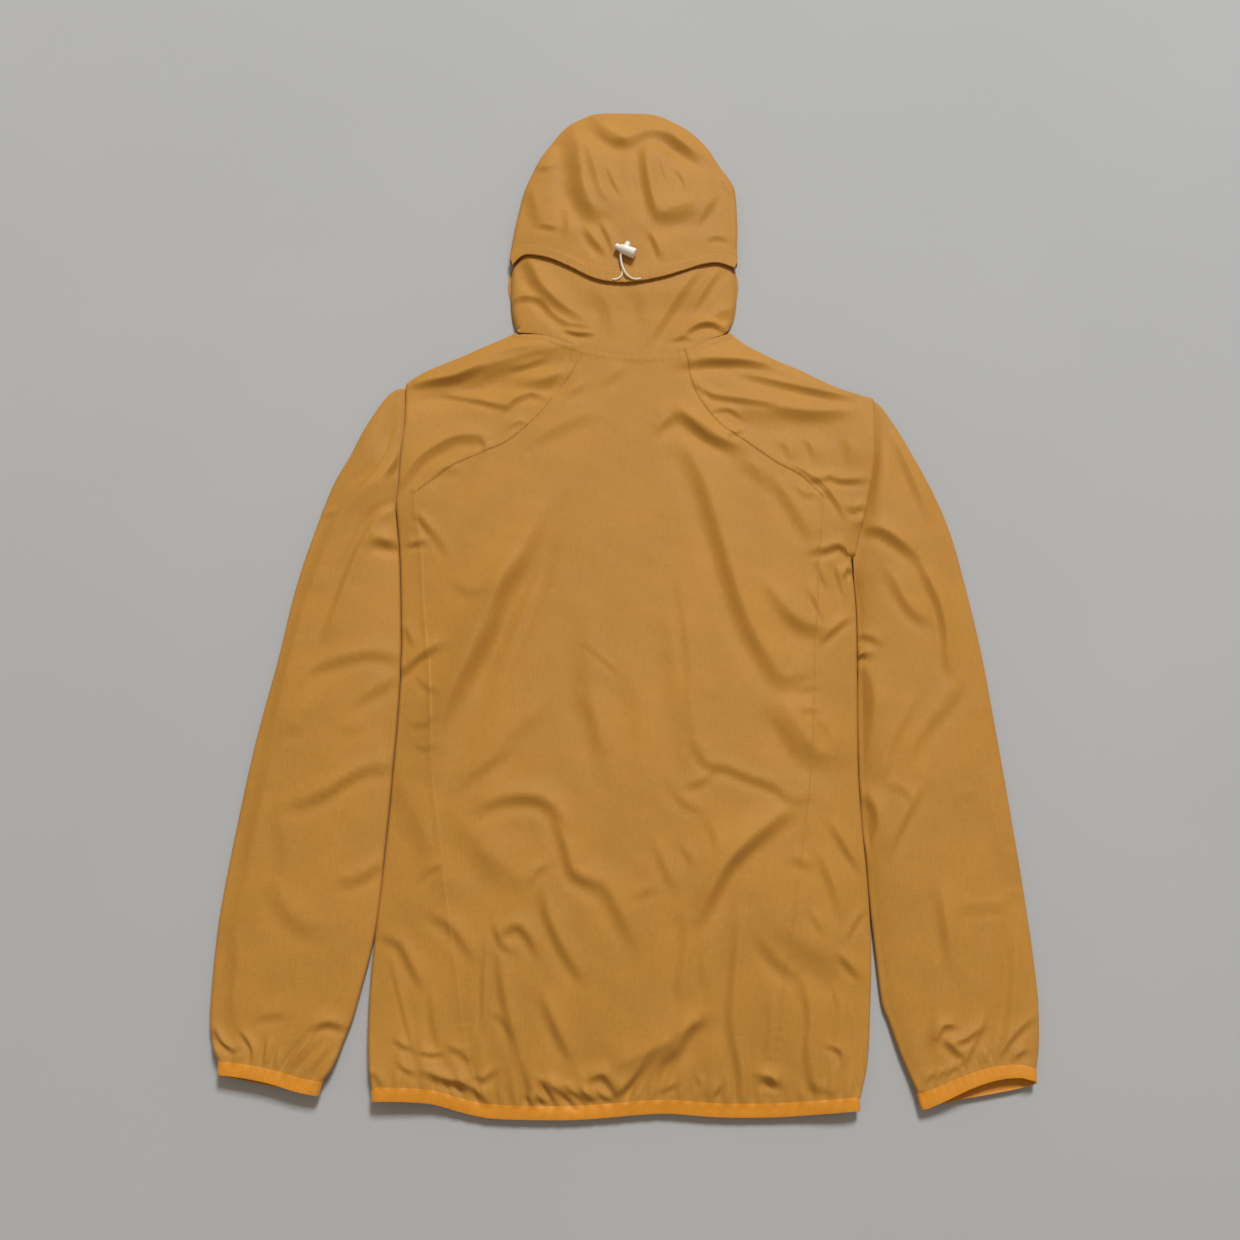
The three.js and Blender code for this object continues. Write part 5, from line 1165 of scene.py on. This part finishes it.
NECK_BASE = 2.1       # height at which the neck piece's sides meet the layer below


def neck_y(x):
    return np.interp(x, neck_line[:, 0], neck_line[:, 1])


def neck_top(x, y, gap):
    """Outer surface of the neck piece; gap is the distance to its nearer side."""
    across = np.clip(np.abs(x - 1.5) / 110, 0, 1)
    own = 7.6 + 5.5 * (1 - across**2.2) + 2.9 * (1 - across**4) * step(245, 276, y)
    from_body, joint = y - neck_y(x), seam_relief(x, neck_y(x))
    seam = body_top(x, neck_y(x)) - joint * (1 - bell(from_body / 3))
    under_crown = step(-14, 2, y - np.interp(x, *edge_of_crown.T))
    high = mix(seam, own, step(0, 45, from_body)) + relief(NECK_CREASES, x, y) * (1 - 0.8 * under_crown)
    high = high + mottled(x + 15, y, 0.15)
    t = 1 - np.clip(gap / 6, 0, 1)
    return NECK_BASE + (high - NECK_BASE) * np.sqrt(np.maximum(1 - t * t, 0))


# %% Hood's lower back piece
def hood_neck():
    west = through((-101.5, 229.6), (-105.5, 240), (-108.8, 264), (-108.9, 292), (-107, 303), (-98, 320))
    east = through((102.5, 230.2), (107.8, 243), (112.2, 264), (112.2, 288), (110, 299), (99, 318))

    def south(t):
        return neck_seam(mix(0.012, 0.988, np.asarray(t, float))) + [0, GAP / 2 + 0.05]

    def matched(curve, end):
        start = curve(0.0)
        return lambda t: curve(t) + (end - start) * (1 - np.asarray(t, float))[..., None] ** 6

    def north(t):
        t = np.asarray(t, float)
        y = crown_lower(mix(0.09, 0.91, t))[..., 1]
        return np.stack([mix(west(1.0)[0], east(1.0)[0], t), mix(np.minimum(y + 16, 320), 319, 0.5)], -1)

    plan = patch(matched(west, south(0.0)), matched(east, south(1.0)), south, north)
    side = np.array([0, 0.0008, 0.003, 0.007, 0.013, 0.021, 0.03, 0.042])
    u = np.concatenate([side, np.linspace(0.055, 0.945, 130), 1 - side[::-1]])[None, :]
    v = samples((0.12, 16), (1.0, 72))[:, None]
    xy = plan(u, v)
    x, y = xy[..., 0], xy[..., 1]
    gap = mix(20, np.minimum(x - x[:, :1], x[:, -1:] - x), step(0, 0.05, v))
    return np.stack([x, y, neck_top(x, y, gap)], -1)


neck = cloth("hood_neck_cloth", "hood_neck", hood_neck())

# %% [markdown]
# ## The side that lies on the floor
# Fronts, zip and the hood's face sides are hidden here, but a jacket has them, and other views
# may show their edges. They are laid flat on the floor and finished plainly.


# %% Fronts
def front(side):
    sign = -1 if side == "left" else 1
    edge_x = left_edge if side == "left" else right_edge
    inset, foot_gap, zip_x = STRIP + 1, 0.5, sign * ZIP_HALF
    side_foot = cloth_end(edge_x(BODY_LOW + 8) - sign * inset) + foot_gap
    side_top = 55 if side == "left" else 9

    def side_line(t):
        y = mix(side_foot, side_top, np.asarray(t, float))
        return np.stack([edge_x(y) - sign * inset, y], -1)

    upper = ([(-184, 75), (-184, 156), (-130, 181), (-89, 199)] if side == "left"
             else [(187, 24), (200, 70), (201, 138), (162, 160), (128, 176), (104, 190), (87, 199)])
    outer = joined(0.72, side_line, through(tuple(side_line(1.0)), *upper))
    zip_foot = cloth_end(zip_x) + foot_gap

    def zip_line(t):
        y = mix(zip_foot, 199, np.asarray(t, float))
        return np.stack([np.full(y.shape, zip_x), y], -1)

    foot = hem_line(outer(0.0)[0], zip_x)
    top_end = outer(1.0)[0]

    def north(t):
        x = mix(top_end, zip_x, np.asarray(t, float))
        return np.stack([x, np.full(x.shape, 199.0)], -1)

    plan = patch(outer, zip_line, lambda t: foot(t) + [0, foot_gap], north)
    xy = plan(np.linspace(0, 1, 31)[None, :], samples((0.1, 10), (1.0, 70))[:, None])
    return np.concatenate([xy, floor_lift(xy[..., 0], xy[..., 1])[..., None]], -1)


fronts = {s: cloth(f"front_{s}_cloth", f"front_{s}", front(s), flip=s == "left")
          for s in ("left", "right")}


# %% Hood's face sides
def hood_side(side):
    sign = -1 if side == "left" else 1
    inset = 31.5
    along = (0.16, 0.43) if side == "left" else (0.85, 0.57)
    hidden = stretch(shifted(crown_arch, -inset), *along)
    shown = ([(-104, 236.5), (-107.5, 246), (-109.2, 264), (-109.4, 301)] if side == "left"
             else [(106.5, 238), (110.5, 249), (112.6, 266), (112.8, 297)])
    outer = through(*shown, *[tuple(hidden(np.array(t))) for t in (0, 0.25, 0.5, 0.75, 1)])
    face = through((sign * ZIP_HALF, 285), (sign * (ZIP_HALF + 8), 301), (sign * 46, 365),
                   (sign * 26, 430), (sign * 14, 438))

    def zip_line(t):
        t = np.asarray(t, float)
        return np.stack([np.full(t.shape, sign * ZIP_HALF), mix(200, 285, t)], -1)

    inner = joined(0.33, zip_line, face)
    corner = (sign * 85, 207)
    to_zip = through(corner, (sign * 84, 200), (sign * ZIP_HALF, 200))
    south = joined(0.3, through(tuple(outer(0.0)), corner), to_zip)
    plan = patch(outer, inner, south, straight(outer(1.0), inner(1.0)))
    xy = plan(np.linspace(0, 1, 31)[None, :], np.linspace(0, 1, 71)[:, None])
    return np.concatenate([xy, np.zeros(xy.shape[:2])[..., None]], -1)


hood_sides = {s: cloth(f"hood_side_{s}_cloth", f"hood_side_{s}", hood_side(s), flip=s == "left")
              for s in ("left", "right")}

# %% [markdown]
# ## Cord and cord lock
# A thin white cord comes out of the channel at the hood's lower edge. Its two strands run up to
# the lock, so each is one open curve with the cord's thickness. The thickness is the radius of
# the curve's points, with a bevel of 1, because Blender adds that radius to the curve's box.

# %% Cord
CORD = 2.0            # thickness of the cord
CORD_RIGHT = [(-1.5, 306, 24.6), (-1.2, 301, 23.4), (0, 294, 22.7), (2.2, 288, 22.4), (5.4, 283.4, 21.8),
              (9.6, 280.6, 20.8), (14, 280.2, 20.1), (18.4, 281, 19.9)]
CORD_LEFT = [(-1.9, 305.4, 21.6), (-1.5, 300.5, 20.7), (-0.4, 294, 20.5), (0.4, 288, 20.3),
             (-0.9, 283.6, 20.1), (-3.6, 281, 20), (-6.6, 280, 19.9), (-9.4, 280.2, 19.9)]


def strand(name, node, route):
    path = through(*route[::-1])(np.linspace(0, 1, 22))
    data = bpy.data.curves.new(name, "CURVE")
    data.dimensions, data.resolution_u, data.bevel_resolution = "3D", 4, 4
    data.bevel_depth, data.use_fill_caps = 1.0, True
    line = data.splines.new("POLY")
    spots = metres(path)
    line.points.add(len(spots) - 1)
    for point, spot in zip(line.points, spots):
        point.co, point.radius = (*spot, 1), CORD / 2000
    line.use_smooth = True
    obj = add_object(name, data)
    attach(obj, "root")
    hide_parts(node)
    tuple(float(c) for c in spots[0])
    return obj


cords = [strand("cord_right", "hood_cord_right", CORD_RIGHT),
         strand("cord_left", "hood_cord_left", CORD_LEFT)]

# %% [markdown]
# ## Materials
# One small class turns shader maths into Python: an expression on sockets adds the nodes.


# %% Shader helper
class Wire:
    """A socket that can be used in an expression."""

    def __init__(self, sheet, socket):
        self.sheet, self.socket = sheet, socket

    def maths(self, operation, *values):
        return self.sheet.node("ShaderNodeMath", {"operation": operation}, dict(enumerate(values)))[0]

    def __add__(self, other):
        return self.maths("ADD", self, other)

    def __sub__(self, other):
        return self.maths("SUBTRACT", self, other)

    def __rsub__(self, other):
        return self.maths("SUBTRACT", other, self)

    def __mul__(self, other):
        return self.maths("MULTIPLY", self, other)

    __radd__, __rmul__ = __add__, __mul__


class Sheet:
    """A material's node tree, written as values."""

    def __init__(self, name):
        self.material = bpy.data.materials.new(name)
        self.material.use_nodes = True
        self.tree = self.material.node_tree
        self.surface = self.tree.nodes["Principled BSDF"]

    def link(self, value, socket):
        if isinstance(value, Wire):
            self.tree.links.new(value.socket, socket)
        else:
            socket.default_value = value

    def node(self, kind, settings=None, values=None):
        """A new node; its outputs are wires, found by number or by name."""
        made = self.tree.nodes.new(kind)
        for key, value in (settings or {}).items():
            setattr(made, key, value)
        for key, value in (values or {}).items():
            self.link(value, made.inputs[key])
        by_number = list(enumerate(made.outputs))
        by_name = [(socket.name, socket) for socket in made.outputs]
        return {key: Wire(self, socket) for key, socket in by_number + by_name}

    def place(self):
        return self.node("ShaderNodeTexCoord")["Object"]

    def noise(self, scale, detail=2.0, stretch=(1, 1, 1)):
        placed = {"Vector": self.place(), "Scale": stretch}
        moved = self.node("ShaderNodeMapping", None, placed)["Vector"]
        return self.node("ShaderNodeTexNoise", None, {"Vector": moved, "Scale": scale, "Detail": detail})[0]

    def blend(self, share, first, second):
        kind = {"data_type": "RGBA", "blend_type": "MIX", "clamp_result": False}
        return self.node("ShaderNodeMix", kind, {0: share, 6: first, 7: second})[2]

    def ramp(self, share, dark, pale):
        made = self.tree.nodes.new("ShaderNodeValToRGB")
        for element, at, colour in zip(made.color_ramp.elements, (0.3, 0.7), (dark, pale)):
            element.position, element.color = at, (*colour, 1)
        self.link(share, made.inputs["Fac"])
        return Wire(self, made.outputs["Color"])

    def bump(self, strength, distance, height, **below):
        values = {"Strength": strength, "Distance": distance, "Height": height, **below}
        return self.node("ShaderNodeBump", None, values)["Normal"]

    def finish(self, **values):
        for key, value in values.items():
            self.link(value, self.surface.inputs[key.replace("_", " ")])
        return self.material


# %% [markdown]
# The shell is a matt plain weave of fine yarn, slightly heathered: paler and darker yarns run
# both ways. Weave height is tiny, so it only breaks up the shine.

# %% Cloth material
def weave(sheet, pitch):
    """Crossing waves, one yarn every pitch metres."""
    across = sheet.node("ShaderNodeSeparateXYZ", None, {0: sheet.place()})
    x, y = (across[axis] * (2 * math.pi / pitch) for axis in ("X", "Y"))
    wave_x = x.maths("SINE", x)
    wave_y = y.maths("SINE", y)
    return wave_x * wave_y


def shades(colour, *factors):
    return [tuple(c * factor for c in colour) for factor in factors]


def shell_cloth(name, colour):
    sheet = Sheet(name)
    dark, pale = shades(colour, 0.86, 1.10)
    warp = sheet.noise(900, 2.0, stretch=(1, 0.12, 1))
    weft = sheet.noise(900, 2.0, stretch=(0.12, 1, 1))
    patchy = sheet.noise(22, 3.0)
    share = warp * 0.38 + weft * 0.30 + patchy * 0.32
    tone = sheet.ramp(share, dark, pale)
    height = weave(sheet, 0.0011) * 0.35 + (warp + weft) * 0.5
    ridged = {"noise_type": "RIDGED_MULTIFRACTAL", "normalize": True}
    crumpled = {"Vector": sheet.place(), "Scale": 19, "Detail": 3.5, "Roughness": 0.45, "Distortion": 0.6}
    crumple = sheet.node("ShaderNodeTexNoise", ridged, crumpled)[0]
    soft = sheet.bump(0.5, 0.0012, crumple)
    fine = sheet.bump(0.16, 0.0003, height, Normal=soft)
    rough_map = 0.62 + (patchy - 0.5) * 0.10
    sheet.surface.inputs["Sheen Weight"].default_value = 0.1
    sheet.surface.inputs["Sheen Roughness"].default_value = 0.45
    sheet.surface.inputs["Specular IOR Level"].default_value = 0.25
    return sheet.finish(Base_Color=tone, Roughness=rough_map, Normal=fine)


ochre = shell_cloth("ochre_cloth", (0.45, 0.212, 0.031))

# %% Binding material
def elastic(name, colour):
    sheet = Sheet(name)
    dark, pale = shades(colour, 0.85, 1.12)
    knit = sheet.noise(1300, 2.0, stretch=(1, 0.3, 0.3))
    patchy = sheet.noise(60, 2.0)
    share = knit * 0.6 + patchy * 0.4
    tone = sheet.ramp(share, dark, pale)
    height = weave(sheet, 0.0009) * 0.5 + knit * 0.5
    fine = sheet.bump(0.25, 0.0003, height)
    sheet.surface.inputs["Sheen Weight"].default_value = 0.15
    sheet.surface.inputs["Specular IOR Level"].default_value = 0.35
    return sheet.finish(Base_Color=tone, Roughness=0.5 + (knit - 0.5) * 0.15, Normal=fine)


orange = elastic("orange_elastic", (0.64, 0.242, 0.0095))


# %% White plastic and cord
def moulded(name, colour):
    sheet = Sheet(name)
    speck = sheet.noise(1500, 3.0)
    haze = sheet.noise(120, 2.0)
    tone = sheet.blend(haze, *[(*shade, 1) for shade in shades(colour, 0.93, 1)])
    fine = sheet.bump(0.08, 0.0002, speck)
    return sheet.finish(Base_Color=tone, Roughness=0.38 + (haze - 0.5) * 0.15, Normal=fine)


def braided(name, colour):
    sheet = Sheet(name)
    spots = sheet.noise(2600, 1.0)
    height = weave(sheet, 0.0008)
    tone = sheet.blend(spots, *[(*shade, 1) for shade in shades(colour, 0.84, 1)])
    fine = sheet.bump(0.35, 0.0002, height)
    return sheet.finish(Base_Color=tone, Roughness=0.6 + (spots - 0.5) * 0.1, Normal=fine)


cream = moulded("cream_plastic", (0.80, 0.76, 0.69))
white_cord = braided("white_cord", (0.80, 0.74, 0.64))
tape = elastic("zip_tape", (0.36, 0.17, 0.035))


def dress(obj, material):
    obj.data.materials.clear()
    obj.data.materials.append(material)


for piece in [back, crown, neck, *sides.values(), *caps.values(), *sleeves.values(), *fronts.values(),
              *hood_sides.values()]:
    dress(piece, ochre)
for piece in [hem_binding, *cuffs.values()]:
    dress(piece, orange)
for piece in cords:
    dress(piece, white_cord)
for name, material in (("cord_lock_barrel", cream), ("cord_lock_plunger", cream), ("zip_slider", cream),
                       ("front_zip", tape)):
    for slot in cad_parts[name].material_slots:
        slot.material = material
print("materials on every piece")

# %% [markdown]
# ## Topstitching
# The raglan, princess and neck seams are each sewn down with a row of short stitches. A stitch
# is a small pill laid on the cloth, a little sunk in, and every row is one object.


# %% Stitch rows
thread = braided("ochre_thread", (0.50, 0.26, 0.07))
PITCH, LONG, THICK, SINK = 2.8, 2.1, 0.34, 0.12   # of a stitch: spacing, length, thickness, depth
AROUND = 6                                        # corners round a stitch
RINGS = np.array([-0.5, -0.36, 0.0, 0.36, 0.5])   # places along it, in shares of its length
RADII = np.array([0.25, 0.85, 1.0, 0.85, 0.25]) * THICK / 2


def stitch(here, ahead, sideways, up):
    """Corners of one pill, bent down a little at both ends."""
    corners = []
    for ring, radius in zip(RINGS, RADII):
        for k in range(AROUND):
            a = 2 * math.pi * k / AROUND
            lift = (math.sin(a) * radius) + THICK / 2 - SINK - 2.2 * THICK * ring * ring
            out = sideways * math.cos(a) * radius
            corners.append(np.add(here, ahead * ring * LONG + out + up * lift))
    return corners


def stitch_faces(first):
    """Faces of one pill whose corners start at number first."""
    faces = []
    for r in range(len(RINGS) - 1):
        for k in range(AROUND):
            n = (k + 1) % AROUND
            base = first + r * AROUND
            faces.append((base + k, base + AROUND + k, base + AROUND + n, base + n))
    faces.append([first + k for k in range(AROUND)])
    faces.append([first + (len(RINGS) - 1) * AROUND + k for k in reversed(range(AROUND))])
    return faces


def stitch_row(name, spots):
    spots = np.asarray(spots, float)
    run = np.concatenate([[0], np.cumsum(np.linalg.norm(np.diff(spots, axis=0), axis=1))])
    middles = np.arange(PITCH / 2, run[-1] - PITCH / 2, PITCH)
    corners, faces = [], []
    for at in middles:
        here, before, after = (
            [np.interp(at + d, run, spots[:, k]) for k in range(3)] for d in (0, -1.0, 1.0))
        ahead = np.subtract(after, before)
        ahead /= np.linalg.norm(ahead)
        sideways = np.cross([0, 0, 1.0], ahead)
        sideways /= np.linalg.norm(sideways)
        faces += stitch_faces(len(corners))
        corners += stitch(here, ahead, sideways, np.cross(ahead, sideways))
    obj = smooth_mesh(name, corners, faces)
    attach(obj, "root")
    dress(obj, thread)
    return len(middles)


def on_body(curve, by, start=0.0, end=1.0, count=260):
    xy = shifted(curve, by)(np.linspace(start, end, count))
    return np.concatenate([xy, body_top(xy[:, 0], xy[:, 1])[:, None]], -1)


count = 0
for s, sign in (("left", -1), ("right", 1)):
    count += stitch_row(f"stitch_raglan_{s}", on_body(raglan[s], sign * -1.6, 0.02, 0.98))
    count += stitch_row(f"stitch_princess_{s}", on_body(princess_seam[s], sign * 1.6, 0.01, 0.98, 500))
count += stitch_row("stitch_neck", on_body(neck_seam, -1.8, 0.02, 0.98))
print(count, "stitches")

# %% [markdown]
# ## Floor, light and camera
# A plain pale floor, one area light from the hood's side, and an even sky that is a little warm.
# The camera stands nearly above the jacket and looks down and a little forward.

# %% Floor
bpy.ops.mesh.primitive_plane_add(size=8, location=(0, 0, -0.0003))
floor_plane = bpy.context.object
floor_plane.name = "floor"
plain = Sheet("pale_floor")
grain = plain.noise(3.0, 3.0)
floor_tone = plain.blend(grain, (0.385, 0.395, 0.405, 1), (0.425, 0.435, 0.445, 1))
dress(floor_plane, plain.finish(Base_Color=floor_tone, Roughness=0.85))


# %% Light and camera
def area_light(name, where, target, size, power, colour):
    data = bpy.data.lights.new(name, "AREA")
    data.shape, data.size, data.size_y, data.energy, data.color = "RECTANGLE", *size, power, colour
    obj = add_object(name, data)
    obj.location = where
    aim = np.subtract(target, where)
    obj.rotation_euler = (math.atan2(math.hypot(aim[0], aim[1]), -aim[2]), 0, math.atan2(-aim[0], aim[1]))


area_light("window", (1.5, 5.3, 6.2), (0, 0, 0), (2.0, 2.0), 632, (0.97, 0.99, 1.0))
world = bpy.data.worlds.new("sky")
bpy.context.scene.world = world
world.use_nodes = True
sky = world.node_tree.nodes["Background"]
sky.inputs["Color"].default_value = (1.0, 0.86, 0.70, 1)
sky.inputs["Strength"].default_value = 0.38

eye = bpy.data.cameras.new("eye")
eye.lens, eye.sensor_width = 36.0, 36.0
camera = add_object("eye", eye)
camera.location = (-0.00367, -0.36799, 1.087)
camera.rotation_euler = (math.radians(16), 0, 0)
bpy.context.scene.camera = camera
bpy.context.scene.view_settings.view_transform = "Standard"
